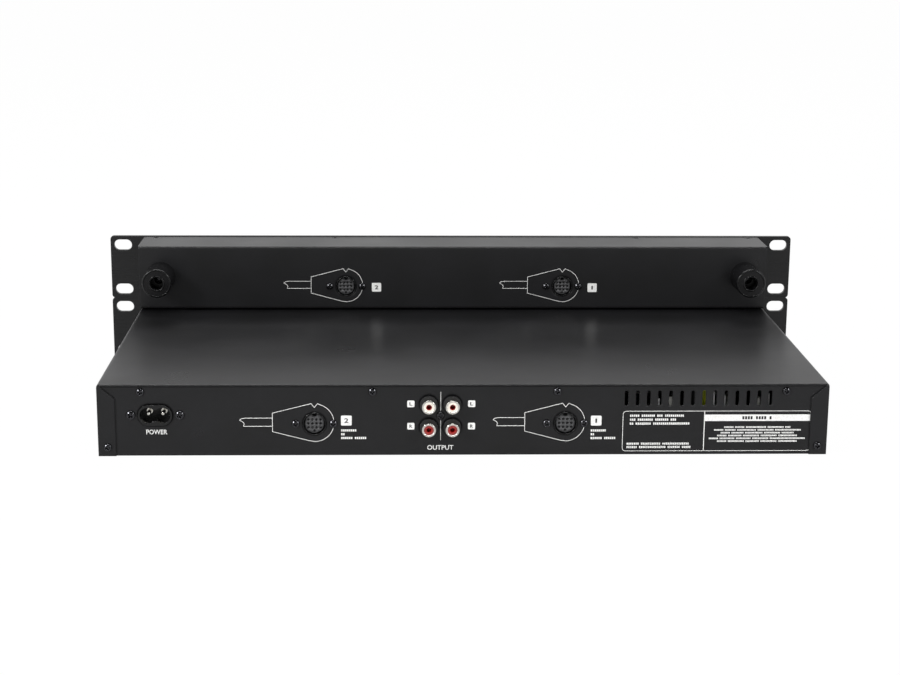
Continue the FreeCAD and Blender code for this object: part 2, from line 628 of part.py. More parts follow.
def link_contacts():
    """Thirteen contacts: three rows of four and one below."""
    pitch = LINK_CONTACT_PITCH
    grid = [((i - 1.5) * pitch, (1 - j) * pitch) for j in range(3) for i in range(4)]
    return grid + [(0, -2 * pitch + 0.5)]


def player_link_sockets():
    return [s for x in PLAYER_LINKS_X for s in link_socket(x, PLAYER_LINK_Z, REAR_FACE)]


def phono_span():
    """Half of the phono block's width and height."""
    return PHONO_PITCH / 2 + PHONO_COLLAR_R + PHONO_WALL


def phono_block():
    """One moulding behind the panel, with a collar through it for each jack."""
    span = phono_span()
    block = box(PHONO_X - span, PHONO_X + span, REAR_IN - PHONO_BLOCK_D, REAR_IN,
                PHONO_Z - span, PHONO_Z + span)
    collar_end = REAR_FACE + PHONO_COLLAR_LEN
    for x, z, _ in phono_places():
        block = block.fuse(rod_y(PHONO_COLLAR_R, REAR_IN - 1, collar_end, x, z))
    for x, z, _ in phono_places():
        block = block.cut(rod_y(PHONO_NECK_R, REAR_IN - PHONO_BACK, collar_end + 1, x, z))
    return block.cut(rod_y(SCREW_HOLE_R, REAR_IN - 9, REAR_IN + 1, PHONO_X, PHONO_Z)).removeSplitter()


def phono_barrels():
    """Plated barrels that plugs go over, each with a thinner neck inside its collar."""
    end, step = REAR_FACE + PHONO_LEN, REAR_FACE + PHONO_COLLAR_LEN
    barrels = []
    for x, z, _ in phono_places():
        barrel = tube_y(PHONO_R, PHONO_BORE_R, step, end, x, z)
        rim = [e for e in barrel.Edges if isinstance(e.Curve, Part.Circle) and e.CenterOfMass.y > end - 0.1]
        barrel = barrel.makeFillet(PHONO_RIM_R, rim)
        neck = tube_y(PHONO_NECK_R, PHONO_BORE_R, REAR_IN - PHONO_BACK, step, x, z)
        barrels.append(fuse(barrel, neck))
    return barrels


def phono_inserts(upper):
    """The moulded centres of the upper or the lower pair of jacks."""
    back, face = REAR_IN - PHONO_BACK, REAR_FACE + PHONO_LEN - 0.5
    return [tube_y(PHONO_BORE_R, PHONO_HOLE_R, back, face, x, z)
            for x, z, is_upper in phono_places() if is_upper == upper]


# ---- boards ----
def player_boards():
    """Power board and servo board, each on four spacers, and the switches behind the keys."""
    front = REAR_IN - BOARD_DEPTH
    power_x0, power_x1 = (x - CASE_HALF for x in POWER_BOARD_IN)
    boards = [(power_x0, power_x1, REAR_IN - POWER_BOARD_BACK), (*SERVO_BOARD_X, REAR_IN - SERVO_BOARD_BACK)]
    out = []
    for x0, x1, y1 in boards:
        out.append(box(x0, x1, front, y1, BOARD_Z, BOARD_Z + BOARD_T))
        out += [rod_z(SPACER_R, SHEET, BOARD_Z, x, y)
                for x in (x0 + SPACER_IN, x1 - SPACER_IN) for y in (front + SPACER_IN, y1 - SPACER_IN)]
    reach = PANEL_BACK + POWER_STEM + POWER_TRAVEL + SWITCH_GAP
    out.append(box(-8, 8, reach, reach + 20, SHEET, BEZEL_MID_Z + 8))
    reach = PANEL_BACK + KEY_STEM + BUTTON_TRAVEL + SWITCH_GAP
    for s in (-1, 1):
        out.append(box(s * OPEN_X - SWITCH_HALF, s * OPEN_X + SWITCH_HALF, reach, reach + 3.6,
                       SHEET, BEZEL_MID_Z + SWITCH_HALF))
    return out


def power_transformer():
    """Switching transformer: a taped winding between two ferrite end plates."""
    x, y, z0 = VENTS_X[6], REAR_IN - 17.0, BOARD_Z + BOARD_T
    winding = box(x - 5.5, x + 5.5, y - 9, y + 9, z0 + 3, z0 + 28)
    return [winding, box(x - 4.5, x + 4.5, y - 6, y + 6, z0, z0 + 3)]


def power_heatsinks():
    """Upright fins and two capacitor cans on the power board, one fin or can behind each of six vents."""
    y0, y1, z0 = REAR_IN - 32.0, REAR_IN - 6.0, BOARD_Z + BOARD_T
    heights = {0: 26, 4: 25, 5: 27, 10: 23}
    fins = [box(VENTS_X[i] - 1, VENTS_X[i] + 1, y0, y1, z0, z0 + h) for i, h in heights.items()]
    small_can = rod_z(5.5, z0, z0 + 20, VENTS_X[9] - 3, y0 + 14)
    large_can = rod_z(6.5, z0, z0 + 24, VENTS_X[12] - 1, y0 + 12)
    return fins + [small_can, large_can]


# ---- decks ----
def frame_screw_places():
    """(x, y) of the four screws under each deck."""
    side = TRAY_W / 2 + TRAY_SIDE_GAP - 5.0
    ends = (FRAME_FRONT + 7.5, FRAME_BACK - 5.0)
    return [(x + s * side, y) for _, x in DECKS for s in (-1, 1) for y in ends]


def loader_frame(x):
    """Deck frame: side walls with tray grooves, floor strips, cross members and pivot posts."""
    run = TRAY_W / 2 + TRAY_SIDE_GAP
    out_u = run + FRAME_WALL
    ledge_top = TRAY_BOTTOM - TRAY_RUN_GAP
    hold_z = TRAY_TOP + TRAY_RUN_GAP
    well = BASE_HALF_W + 9.0
    floor_top = FRAME_BOTTOM + FRAME_FLOOR_T
    cross_front = BASE_FRONT - 14.0
    keeper = FRAME_LEN / 3
    parts = []
    for s in (-1, 1):
        wall_u, ledge_u, keeper_u = x + s * run, x + s * (run - LEDGE_W), x + s * (run - KEEPER_W)
        parts += [box(wall_u, x + s * out_u, FRAME_FRONT, FRAME_BACK, FRAME_BOTTOM, FRAME_TOP),
                  box(ledge_u, wall_u, FRAME_FRONT, FRAME_BACK, ledge_top - LEDGE_T, ledge_top),
                  box(keeper_u, wall_u, FRAME_FRONT, FRAME_FRONT + keeper, hold_z, hold_z + KEEPER_T),
                  box(keeper_u, wall_u, FRAME_BACK - keeper, FRAME_BACK, hold_z, hold_z + KEEPER_T),
                  box(x + s * well, x + s * out_u, FRAME_FRONT, FRAME_BACK, FRAME_BOTTOM, floor_top),
                  box(x + s * (BASE_HALF_W + 1), x + s * (BASE_HALF_W + 6), PIVOT_Y - 5, FRAME_BACK,
                      FRAME_BOTTOM, PIVOT_Z + 3.6)]
    parts += [box(x - out_u, x + out_u, FRAME_FRONT, cross_front, FRAME_BOTTOM, FRAME_BOTTOM + 3),
              box(x - out_u, x + out_u, FRAME_BACK - 10, FRAME_BACK, FRAME_BOTTOM, FRAME_BOTTOM + 6)]
    places = [(px, py) for px, py in frame_screw_places() if abs(px - x) < out_u]
    parts += [rod_z(4.0, SHEET, FRAME_BOTTOM + 5, px, py) for px, py in places]
    frame = fuse(*parts)
    pivot = rod_x(PIVOT_R + PIVOT_CLEARANCE, x - out_u, x + out_u, PIVOT_Y, PIVOT_Z)
    pivot = pivot.common(box(x - well, x + well, PIVOT_Y - 5, PIVOT_Y + 5, 0, FRAME_TOP))
    screws = [rod_z(SCREW_HOLE_R, 0, FRAME_BOTTOM + 4.5, px, py) for px, py in places]
    heads = [countersink(FRAME_SCREW_R, px, py, 0, -1) for px, py in places]
    return cut(frame, pivot, *screws, *heads)


def clamp_bridge(x):
    """Steel strip with two upturned edges, across the frame's walls, that carries the clamp puck."""
    run = TRAY_W / 2 + TRAY_SIDE_GAP + FRAME_WALL
    top = FRAME_TOP + BRIDGE_T
    strip = box(x - run, x + run, DISC_Y - BRIDGE_HALF_D, DISC_Y + BRIDGE_HALF_D, FRAME_TOP, top)
    eye = rod_z(BRIDGE_EYE_R, FRAME_TOP, top, x, DISC_Y)
    inner = BRIDGE_HALF_D - BRIDGE_T
    ribs = [box(x - run + 2, x + run - 2, DISC_Y + s * BRIDGE_HALF_D, DISC_Y + s * inner,
                FRAME_TOP, top + BRIDGE_RIB_H) for s in (-1, 1)]
    hole = rod_z(PUCK_NECK_R + PUCK_NECK_GAP, FRAME_TOP - 1, top + 1, x, DISC_Y)
    return fuse(strip, eye, *ribs).cut(hole)


def clamp_puck(x):
    """Magnet puck: a dished plate below the bridge, a neck through it and a slotted collar above."""
    plate_top, collar = PUCK_BOTTOM + PUCK_T, FRAME_TOP + BRIDGE_T + PUCK_NECK_GAP
    plate = rod_z(PUCK_R, PUCK_BOTTOM, plate_top, x, DISC_Y)
    neck = rod_z(PUCK_NECK_R, plate_top, collar, x, DISC_Y)
    cap = rod_z(PUCK_COLLAR_R, collar, collar + PUCK_COLLAR_T, x, DISC_Y)
    dish = rod_z(HUB_R + 1.0, PUCK_BOTTOM - 1, PUCK_BOTTOM + PUCK_T - 1.0, x, DISC_Y)
    mark = box(x - 0.8, x + 0.8, DISC_Y + 4, DISC_Y + PUCK_COLLAR_R + 1,
               collar + PUCK_COLLAR_T / 2, collar + 2 * PUCK_COLLAR_T)
    return cut(fuse(plate, neck, cap), dish, mark)


def rack_profile(x):
    """Straight rack under the tray, its teeth facing +X, with a gap in line with the gear's axis."""
    pitch = math.pi * GEAR_MODULE
    tan = math.tan(math.radians(20))
    u = x + RACK_U
    tip, root = u + GEAR_ADDENDUM, u - GEAR_DEDENDUM
    half = pitch / 4 - GEAR_BACKLASH
    first = math.ceil((RACK_FRONT_Y - GEAR_Y) / pitch - 0.5)
    last = math.floor((TRAY_BACK - 4 - GEAR_Y) / pitch - 0.5)
    points = [(root - RACK_BACK_T, RACK_FRONT_Y - 2), (root, RACK_FRONT_Y - 2)]
    for k in range(first, last + 1):
        y = GEAR_Y + (k + 0.5) * pitch
        points += [(root, y - half - GEAR_DEDENDUM * tan), (tip, y - half + GEAR_ADDENDUM * tan),
                   (tip, y + half - GEAR_ADDENDUM * tan), (root, y + half + GEAR_DEDENDUM * tan)]
    points += [(root, TRAY_BACK - 1), (root - RACK_BACK_T, TRAY_BACK - 1)]
    return prism_z(points, TRAY_BOTTOM - RACK_DROP, TRAY_BOTTOM)


def tray(x):
    """Disc drawer: rim, two stepped recesses, a slot open to the rear, and its drive rack."""
    half = TRAY_W / 2
    plate = box(x - half, x + half, TRAY_FRONT, TRAY_BACK, TRAY_BOTTOM, TRAY_TOP)
    recess = rod_z(DISC_R + TRAY_RECESS_EXTRA, TRAY_BOTTOM + TRAY_FLOOR, TRAY_TOP + 1, x, DISC_Y)
    small = rod_z(SMALL_DISC_R, TRAY_BOTTOM + TRAY_FLOOR - SMALL_DISC_STEP, TRAY_TOP + 1, x, DISC_Y)
    slot = fuse(rod_z(TRAY_SLOT_HALF, TRAY_BOTTOM - 1, TRAY_TOP + 1, x, DISC_Y),
                box(x - TRAY_SLOT_HALF, x + TRAY_SLOT_HALF, DISC_Y, TRAY_BACK + 1,
                    TRAY_BOTTOM - 1, TRAY_TOP + 1))
    finger = [rod_z(FINGER_R, TRAY_BOTTOM - 1, TRAY_TOP + 1, x + s * FINGER_U, DISC_Y - FINGER_AHEAD)
              for s in (-1, 1)]
    plate = cut(plate, recess, small, slot, *finger)
    return plate.fuse(rack_profile(x)).removeSplitter()


def tray_front(x):
    """Moulded bezel on the tray's front edge, with a shallow finger groove."""
    front = TRAY_FRONT - BEZEL_T
    bezel = pad_y(BEZEL_W, BEZEL_H, 1.0, front, TRAY_FRONT, x, BEZEL_MID_Z)
    rim = [e for e in bezel.Edges if e.CenterOfMass.y < front + 0.01]
    bezel = bezel.makeFillet(0.6, rim)
    groove = rod_x(1.6, x - 30, x + 30, front - 0.9, BEZEL_BOTTOM + 3.4)
    return bezel.cut(groove)


def involute(base_r, r):
    """Angle, in radians, at which an involute of a base circle reaches radius r."""
    if r <= base_r:
        return 0.0
    a = math.acos(base_r / r)
    return math.tan(a) - a


def gear_profile(teeth, module, flank_points=5):
    """(x, y) points of an involute spur gear about the origin, one tooth along -X."""
    pitch_r = teeth * module / 2
    base_r = pitch_r * math.cos(math.radians(20))
    tip_r, root_r = pitch_r + GEAR_ADDENDUM, pitch_r - GEAR_DEDENDUM
    half = math.pi / (2 * teeth) - GEAR_BACKLASH / pitch_r
    start = half + involute(base_r, pitch_r)
    low = max(base_r, root_r)
    radii = [low + (tip_r - low) * i / (flank_points - 1) for i in range(flank_points)]
    points = []
    for t in range(teeth):
        centre = math.pi + t * 2 * math.pi / teeth
        right = [(r, centre - (start - involute(base_r, r))) for r in radii]
        left = [(r, centre + (start - involute(base_r, r))) for r in reversed(radii)]
        outline = [(root_r, right[0][1])] + right + left + [(root_r, left[-1][1])]
        points += [(r * math.cos(a), r * math.sin(a)) for r, a in outline]
    return points


def drive_gear(x):
    """Tray gear: involute teeth, a web with three holes and a hub on the motor's shaft."""
    z0 = GEAR_BOTTOM
    cx, cy = x + GEAR_U, GEAR_Y
    gear = prism_z(gear_profile(GEAR_TEETH, GEAR_MODULE), z0, z0 + GEAR_T)
    gear.translate(V(cx, cy, 0))
    gear = gear.cut(rod_z(SHAFT_R + SHAFT_CLEARANCE, z0 - 1, z0 + GEAR_T + 1, cx, cy))
    for i in range(3):
        a = math.radians(30 + 120 * i)
        gear = gear.cut(rod_z(1.8, z0 - 1, z0 + GEAR_T + 1, cx + 5.2 * math.cos(a), cy + 5.2 * math.sin(a)))
    return gear


def load_motor(x):
    """Flat geared motor that stands on the frame's front member, its shaft in the gear."""
    z0 = FRAME_BOTTOM + 3
    cx, cy = x + GEAR_U, GEAR_Y
    top = GEAR_BOTTOM - MOTOR_CLEARANCE
    can = rod_z(MOTOR_R, z0, top, cx, cy)
    boss = rod_z(2.6, top - 0.2, GEAR_BOTTOM - 0.4, cx, cy)
    return fuse(can, boss, rod_z(SHAFT_R, top - 0.2, TRAY_BOTTOM - GEAR_DROP / 2, cx, cy))


def optical_base(x):
    """Tilting base plate: pickup window, motor seat, rod lugs and rear pivot pins."""
    z0, z1 = BASE_PLATE_BOTTOM, BASE_PLATE_BOTTOM + BASE_PLATE_T
    plate = box(x - BASE_HALF_W, x + BASE_HALF_W, BASE_FRONT, PIVOT_Y, z0, z1)
    edge = rod_x(2.6, x - BASE_HALF_W, x + BASE_HALF_W, PIVOT_Y, PIVOT_Z)
    pins = rod_x(PIVOT_R, x - BASE_HALF_W - 5.5, x + BASE_HALF_W + 5.5, PIVOT_Y, PIVOT_Z)
    lugs = []
    for y0, y1 in ((PICKUP_FRONT - 2.5, PICKUP_FRONT - 0.5), (PICKUP_END + 2.0, PICKUP_END + 4.0)):
        lugs += [box(x + s * (ROD_U - 2), x + s * (ROD_U + 2), y0, y1, z1, ROD_Z + 1.6) for s in (-1, 1)]
    window = box(x - ROD_U + 4, x + ROD_U - 4, PICKUP_FRONT - 1, PICKUP_END + 1, z0 - 1, z1 + 1)
    skirt = z0 - BASE_SKIRT_H
    wall = [box(x + s * (BASE_HALF_W - BASE_WALL), x + s * BASE_HALF_W, BASE_FRONT, PIVOT_Y, skirt, z1)
            for s in (-1, 1)]
    front_wall = box(x - BASE_HALF_W, x + BASE_HALF_W, BASE_FRONT, BASE_FRONT + BASE_WALL, skirt, z1)
    base = fuse(plate, edge, pins, front_wall, *lugs, *wall)
    return cut(base, window, rod_z(3.0, z0 - 1, z1 + 1, x, DISC_Y), *guide_rods(x))


def guide_rods(x):
    return [rod_y(ROD_R, PICKUP_FRONT - 2.5, PICKUP_END + 4.0, x + s * ROD_U, ROD_Z) for s in (-1, 1)]


def spindle_motor(x):
    """Flat disc motor under the base plate, bored for the turntable's shaft."""
    z1 = BASE_PLATE_BOTTOM
    bottom = z1 - SPINDLE_MOTOR_H
    can = rod_z(SPINDLE_MOTOR_R, bottom, z1, x, DISC_Y)
    boss = rod_z(2.7, z1, z1 + BASE_PLATE_T + 0.8, x, DISC_Y)
    return fuse(can, boss).cut(rod_z(SHAFT_R + SHAFT_CLEARANCE, bottom + 1, z1 + 5, x, DISC_Y))


def turntable(x):
    """Disc seat with its centring cone, on the spindle shaft."""
    seat = rod_z(TURNTABLE_R, DISC_SEAT_Z - 1.6, DISC_SEAT_Z, x, DISC_Y)
    neck = rod_z(6.0, BASE_PLATE_BOTTOM + BASE_PLATE_T + 1.6, DISC_SEAT_Z - 1.6, x, DISC_Y)
    cone = Part.makeCone(HUB_R, HUB_R - 1.6, HUB_TOP_Z - DISC_SEAT_Z, V(x, DISC_Y, DISC_SEAT_Z))
    shaft = rod_z(SHAFT_R, BASE_PLATE_BOTTOM - SPINDLE_MOTOR_H + 1.5, DISC_SEAT_Z - 1, x, DISC_Y)
    return fuse(seat, neck, cone, shaft)


def pickup(x):
    """Laser sled on the two guide rods, with its lens tower."""
    y0, y1 = PICKUP_FRONT, PICKUP_FRONT + PICKUP_LEN
    z0 = BASE_PLATE_BOTTOM + BASE_PLATE_T + 0.5
    carriage = box(x - ROD_U - 1.9, x + ROD_U + 1.9, y0, y1, z0, TRAY_BOTTOM - 0.6)
    belly = box(x - 10, x + 10, y0 + 1, y1 - 1, BASE_PLATE_BOTTOM - 2.5, z0)
    tower = box(x - 7, x + 7, y0 + 1, y1 - 2, TRAY_BOTTOM - 0.6, TRAY_BOTTOM + 1.3)
    lens = rod_z(2.2, TRAY_BOTTOM + 1.3, TRAY_BOTTOM + 2.1, x, y0 + 6)
    rods = [rod_y(ROD_R + ROD_CLEARANCE, y0 - 1, y1 + 1, x + s * ROD_U, ROD_Z) for s in (-1, 1)]
    return cut(fuse(carriage, belly, tower, lens), *rods)


# ---- buttons, jog wheels and faders ----
def button(w, h, x, z, proud=BUTTON_PROUD, reach=KEY_STEM, stem_r=KEY_STEM_R):
    """A cap through its panel hole, a retaining flange behind it and a stem to its switch."""
    cap = pad_y(w, h, BUTTON_R, PANEL_FRONT - proud, PANEL_BACK, x, z)
    rim = [e for e in cap.Edges if e.CenterOfMass.y < PANEL_FRONT - proud + 0.01]
    cap = cap.makeFillet(0.5, rim)
    flange = pad_y(w + 2 * BUTTON_FLANGE, h + 2 * BUTTON_FLANGE, BUTTON_R + BUTTON_FLANGE / 2,
                   PANEL_BACK, PANEL_BACK + BUTTON_FLANGE_T, x, z)
    return fuse(cap, flange, rod_y(stem_r, PANEL_BACK, PANEL_BACK + reach, x, z))


def power_button():
    return button(POWER_W, POWER_H, 0, BEZEL_MID_Z, POWER_PROUD, POWER_STEM, POWER_STEM_R)


def open_button(side):
    return button(OPEN_W, OPEN_H, side * OPEN_X, BEZEL_MID_Z)


def jog_wheel(deck_x):
    """Jog wheel: dished face, grip notches round the rim, hub and shaft."""
    x, z = deck_x + JOG_X, CONTROL_BOTTOM + CASE_H / 2
    back = PANEL_FRONT - JOG_FACE_GAP
    front = back - JOG_T
    wheel = rod_y(JOG_R, front, back, x, z)
    rim = [e for e in wheel.Edges if isinstance(e.Curve, Part.Circle) and e.CenterOfMass.y < front + 0.1]
    wheel = wheel.makeFillet(1.2, rim)
    dish = rod_y(JOG_R - JOG_DISH_IN, front - 1, front + JOG_DISH_DEPTH, x, z)
    dimple = Part.makeSphere(JOG_DIMPLE_R, V(x, front - JOG_DIMPLE_R + JOG_DIMPLE_DEPTH, z + JOG_R / 2))
    wheel = cut(wheel, dish, dimple)
    ring = JOG_R + JOG_NOTCH_R / 3
    for i in range(JOG_NOTCHES):
        a = 2 * math.pi * i / JOG_NOTCHES
        notch_x, notch_z = x + ring * math.cos(a), z + ring * math.sin(a)
        wheel = wheel.cut(rod_y(JOG_NOTCH_R, front + 2.4, back + 1, notch_x, notch_z))
    hub = rod_y(JOG_BUSH_R, back, PANEL_BACK + 2, x, z)
    return fuse(wheel, hub, rod_y(JOG_SHAFT_R, back, PANEL_BACK + 11, x, z))


def fader_cap(deck_x):
    """Fader cap with a finger dip and a centre line, on a flat stem through the panel slot."""
    x, z = deck_x + FADER_X, CONTROL_BOTTOM + FADER_UP
    back = PANEL_FRONT - 0.5
    front = back - FADER_CAP_T
    half_w, half_h = FADER_CAP_W / 2, FADER_CAP_H / 2
    outline = [(x - half_w, back), (x + half_w, back), (x + half_w - 1.0, front), (x - half_w + 1.0, front)]
    cap = prism_z(outline, z - half_h, z + half_h)
    dip = rod_z(7.0, z - half_h - 1, z + half_h + 1, x, front - 5.9)
    line = box(x - 0.35, x + 0.35, front - 1, front + 1.5, z - half_h - 1, z + half_h + 1)
    stem_w, stem_h = FADER_STEM_W / 2, FADER_STEM_H / 2
    stem = box(x - stem_w, x + stem_w, back, PANEL_BACK + FADER_REACH, z - stem_h, z + stem_h)
    return fuse(cut(cap, dip, line), stem)


# ---- control unit case and inside ----
def control_case():
    """Folded box, open at the front: top, rear, underside and two sides."""
    half = CASE_HALF
    outer = box(-half, half, PANEL_BACK, CONTROL_REAR, CONTROL_BOTTOM, CONTROL_TOP)
    rear_edges = edges_at(outer, lambda c: c.y > CONTROL_REAR - 0.1, V(1, 0, 0))
    outer = outer.makeFillet(BEND_R, rear_edges)
    inner = box(-half + SHEET, half - SHEET, PANEL_BACK - 1, CONTROL_REAR - SHEET,
                CONTROL_BOTTOM + SHEET, CONTROL_TOP - SHEET)
    case = outer.cut(inner)
    y0, y1 = CONTROL_REAR - SHEET - 1, CONTROL_REAR + 1
    tools = link_holes(CONTROL_LINKS_X, CONTROL_BOTTOM + CONTROL_LINK_UP, y0, y1)
    tools += [rod_y(SCREW_HOLE_R + 0.1, y0, y1, x, CONTROL_BOTTOM + FOOT_UP) for x in feet_x()]
    tools += [countersink(TOP_SCREW_R, x, PANEL_BACK + CONTROL_TOP_SCREW_BACK, CONTROL_TOP, 1)
              for x in CONTROL_TOP_SCREWS_X]
    return cut(case, *tools)


def control_board():
    """Key board with its switches, encoders, faders, display modules and panel brackets."""
    y0 = PANEL_BACK + BOARD_BEHIND
    half = CASE_HALF - 6
    out = [box(-half, half, y0, y0 + BOARD_T, CONTROL_BOTTOM + 3, CONTROL_TOP - 3)]
    switch_y = PANEL_BACK + KEY_STEM + BUTTON_TRAVEL + SWITCH_GAP / 2
    for _, deck_x in HALVES:
        for _, x, z, _, _ in half_buttons(deck_x):
            out.append(box(x - SWITCH_HALF, x + SWITCH_HALF, switch_y, y0, z - SWITCH_HALF, z + SWITCH_HALF))
        x, z = deck_x + JOG_X, CONTROL_BOTTOM + CASE_H / 2
        body = box(x - 7, x + 7, PANEL_BACK + 3, y0, z - 7, z + 7)
        out.append(body.cut(rod_y(JOG_SHAFT_R + SHAFT_CLEARANCE, PANEL_BACK + 2, y0 + 1, x, z)))
        x, z = deck_x + FADER_X, CONTROL_BOTTOM + FADER_UP
        reach = FADER_TRAVEL + FADER_STEM_W / 2 + 1
        channel = FADER_STEM_H / 2 + 0.5
        body = box(x - reach - 4, x + reach + 4, PANEL_BACK + 3, y0, z - 4.5, z + 4.5)
        out.append(body.cut(box(x - reach, x + reach, PANEL_BACK + 2, PANEL_BACK + FADER_REACH + 1,
                                z - channel, z + channel)))
        x, z = deck_x + WINDOW_X, CONTROL_BOTTOM + WINDOW_UP
        out.append(box(x - WINDOW_W / 2 - 1, x + WINDOW_W / 2 + 1, PANEL_BACK + 0.6, PANEL_BACK + 6,
                       z - WINDOW_H / 2 - 1, z + WINDOW_H / 2 + 1))
    screw_y, roof = PANEL_BACK + CONTROL_TOP_SCREW_BACK, CONTROL_TOP - SHEET
    for x in CONTROL_TOP_SCREWS_X:
        block = box(x - 4, x + 4, PANEL_BACK + 0.2, PANEL_BACK + 9, roof - SCREW_LEN, roof)
        out.append(block.cut(rod_z(SCREW_HOLE_R, CONTROL_TOP - 9, CONTROL_TOP, x, screw_y)))
    return out


def display_windows():
    """Clear windows, set into the panel and stepped behind it."""
    out = []
    for _, deck_x in HALVES:
        x, z = deck_x + WINDOW_X, CONTROL_BOTTOM + WINDOW_UP
        out.append(pad_y(WINDOW_W - 0.3, WINDOW_H - 0.3, 1.4, PANEL_FRONT + 0.4, PANEL_BACK + 0.5, x, z))
    return out


def feet_x():
    return (FOOT_IN - CASE_HALF, CASE_HALF - FOOT_IN)


def control_feet():
    """Rubber feet on the rear face, each with a sunk fixing hole, and four thin pads underneath."""
    end, z = CONTROL_REAR + FOOT_LEN, CONTROL_BOTTOM + FOOT_UP
    feet = []
    for x in feet_x():
        foot = Part.makeCone(FOOT_BASE_R, FOOT_R, FOOT_LEN, V(x, CONTROL_REAR, z), V(0, 1, 0))
        rim = [e for e in foot.Edges if isinstance(e.Curve, Part.Circle) and e.CenterOfMass.y > end - 0.1]
        foot = foot.makeFillet(0.9, rim)
        well = rod_y(FOOT_BORE_R, CONTROL_REAR + FOOT_BORE_FLOOR, end + 1, x, z)
        groove = tube_y(FOOT_GROOVE_R, FOOT_LIP_R, end - FOOT_GROOVE_DEPTH, end + 1, x, z)
        feet.append(cut(foot, well, groove, rod_y(SCREW_HOLE_R + 0.1, CONTROL_REAR - 1, end, x, z)))
    for x in (PAD_IN - CASE_HALF, CASE_HALF - PAD_IN):
        for y in (PANEL_BACK + 2 * PAD_R, CONTROL_REAR - 2 * PAD_R):
            feet.append(rod_z(PAD_R, CASE_H, CONTROL_BOTTOM, x, y))
    return feet


def control_screws():
    """Foot screws, socket screws and the flat screws along the top."""
    foot_screw = pan_screw(FOOT_SCREW_R, FOOT_SCREW_H, FOOT_BORE_FLOOR + 4.0)
    out = [place(foot_screw, "+y", x, CONTROL_REAR + FOOT_BORE_FLOOR, CONTROL_BOTTOM + FOOT_UP, x)
           for x in feet_x()]
    link_z = CONTROL_BOTTOM + CONTROL_LINK_UP
    for x in CONTROL_LINKS_X:
        out += [rear_screw(x + s * LINK_SCREW_DX, link_z, CONTROL_REAR, 15 + 20 * s) for s in (-1, 1)]
    flat = flat_screw(TOP_SCREW_R, SCREW_LEN)
    out += [place(flat, "+z", x, PANEL_BACK + CONTROL_TOP_SCREW_BACK, CONTROL_TOP, x)
            for x in CONTROL_TOP_SCREWS_X]
    return out


def control_link_sockets():
    z = CONTROL_BOTTOM + CONTROL_LINK_UP
    return [s for x in CONTROL_LINKS_X for s in link_socket(x, z, CONTROL_REAR)]


# ---- all nodes ----
def nodes():
    """Every node's name with its solids."""
    made = {
        "player_chassis": player_chassis(),
        "player_cover": player_cover(),
        "player_front_panel": player_front_panel(),
        "player_screws": player_screws(),
        "mains_inlet": mains_inlet(),
        "mains_pins": [mains_pin(-1), mains_pin(1)],
        "player_link_sockets": player_link_sockets(),
        "phono_block": phono_block(),
        "phono_barrels": phono_barrels(),
        "phono_inserts_white": phono_inserts(True),
        "phono_inserts_red": phono_inserts(False),
        "player_boards": player_boards(),
        "power_transformer": power_transformer(),
        "power_heatsinks": power_heatsinks(),
        "clamp_bridges": [clamp_bridge(x) for _, x in DECKS],
        "load_motors": [load_motor(x) for _, x in DECKS],
        "power_button": power_button(),
        "control_case": control_case(),
        "control_front_panel": control_front_panel(),
        "control_board": control_board(),
        "control_link_sockets": control_link_sockets(),
        "control_feet": control_feet(),
        "control_screws": control_screws(),
        "display_windows": display_windows(),
    }
    for n, x in DECKS:
        made[f"loader_frame_{n}"] = loader_frame(x)
        made[f"tray_{n}"] = tray(x)
        made[f"tray_front_{n}"] = tray_front(x)
        made[f"drive_gear_{n}"] = drive_gear(x)
        made[f"optical_base_{n}"] = optical_base(x)
        made[f"guide_rods_{n}"] = guide_rods(x)
        made[f"spindle_motor_{n}"] = spindle_motor(x)
        made[f"turntable_{n}"] = turntable(x)
        made[f"clamp_puck_{n}"] = clamp_puck(x)
        made[f"pickup_{n}"] = pickup(x)
        made[f"open_button_{n}"] = open_button(-1 if x < 0 else 1)
    for n, x in HALVES:
        made[f"jog_wheel_{n}"] = jog_wheel(x)
        made[f"pitch_fader_{n}"] = fader_cap(x)
        for name, bx, bz, w, h in half_buttons(x):
            made[f"{name}_button_{n}"] = button(w, h, bx, bz)
    return made


os.makedirs("parts", exist_ok=True)
for name, shape in nodes().items():
    solids = shape if isinstance(shape, list) else [shape]
    flat = [s for shape in solids for s in shape.Solids]
    whole = flat[0] if len(flat) == 1 else Part.makeCompound(flat)
    whole.exportStep(f"parts/{name}.step")
    print(f"{name}: {len(flat)} solid(s), {whole.Volume / 1000:.2f} cm3, valid {whole.isValid()}")
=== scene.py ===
import math
import random

import bmesh
import bpy
from mathutils import Matrix, Vector


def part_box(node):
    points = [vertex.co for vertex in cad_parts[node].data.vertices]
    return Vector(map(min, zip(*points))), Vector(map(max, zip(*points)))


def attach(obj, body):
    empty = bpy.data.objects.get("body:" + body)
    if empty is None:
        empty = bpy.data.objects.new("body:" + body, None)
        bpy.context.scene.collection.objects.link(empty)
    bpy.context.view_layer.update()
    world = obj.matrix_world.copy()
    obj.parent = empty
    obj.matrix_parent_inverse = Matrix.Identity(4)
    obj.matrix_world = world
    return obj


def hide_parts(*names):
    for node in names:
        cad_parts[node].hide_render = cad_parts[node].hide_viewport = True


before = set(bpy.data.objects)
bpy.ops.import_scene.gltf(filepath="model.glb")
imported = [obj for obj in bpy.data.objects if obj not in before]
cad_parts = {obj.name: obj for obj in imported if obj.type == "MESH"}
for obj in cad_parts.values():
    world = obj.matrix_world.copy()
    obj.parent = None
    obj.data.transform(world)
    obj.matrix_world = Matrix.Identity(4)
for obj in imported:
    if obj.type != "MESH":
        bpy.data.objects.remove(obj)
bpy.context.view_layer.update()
MM = 0.001

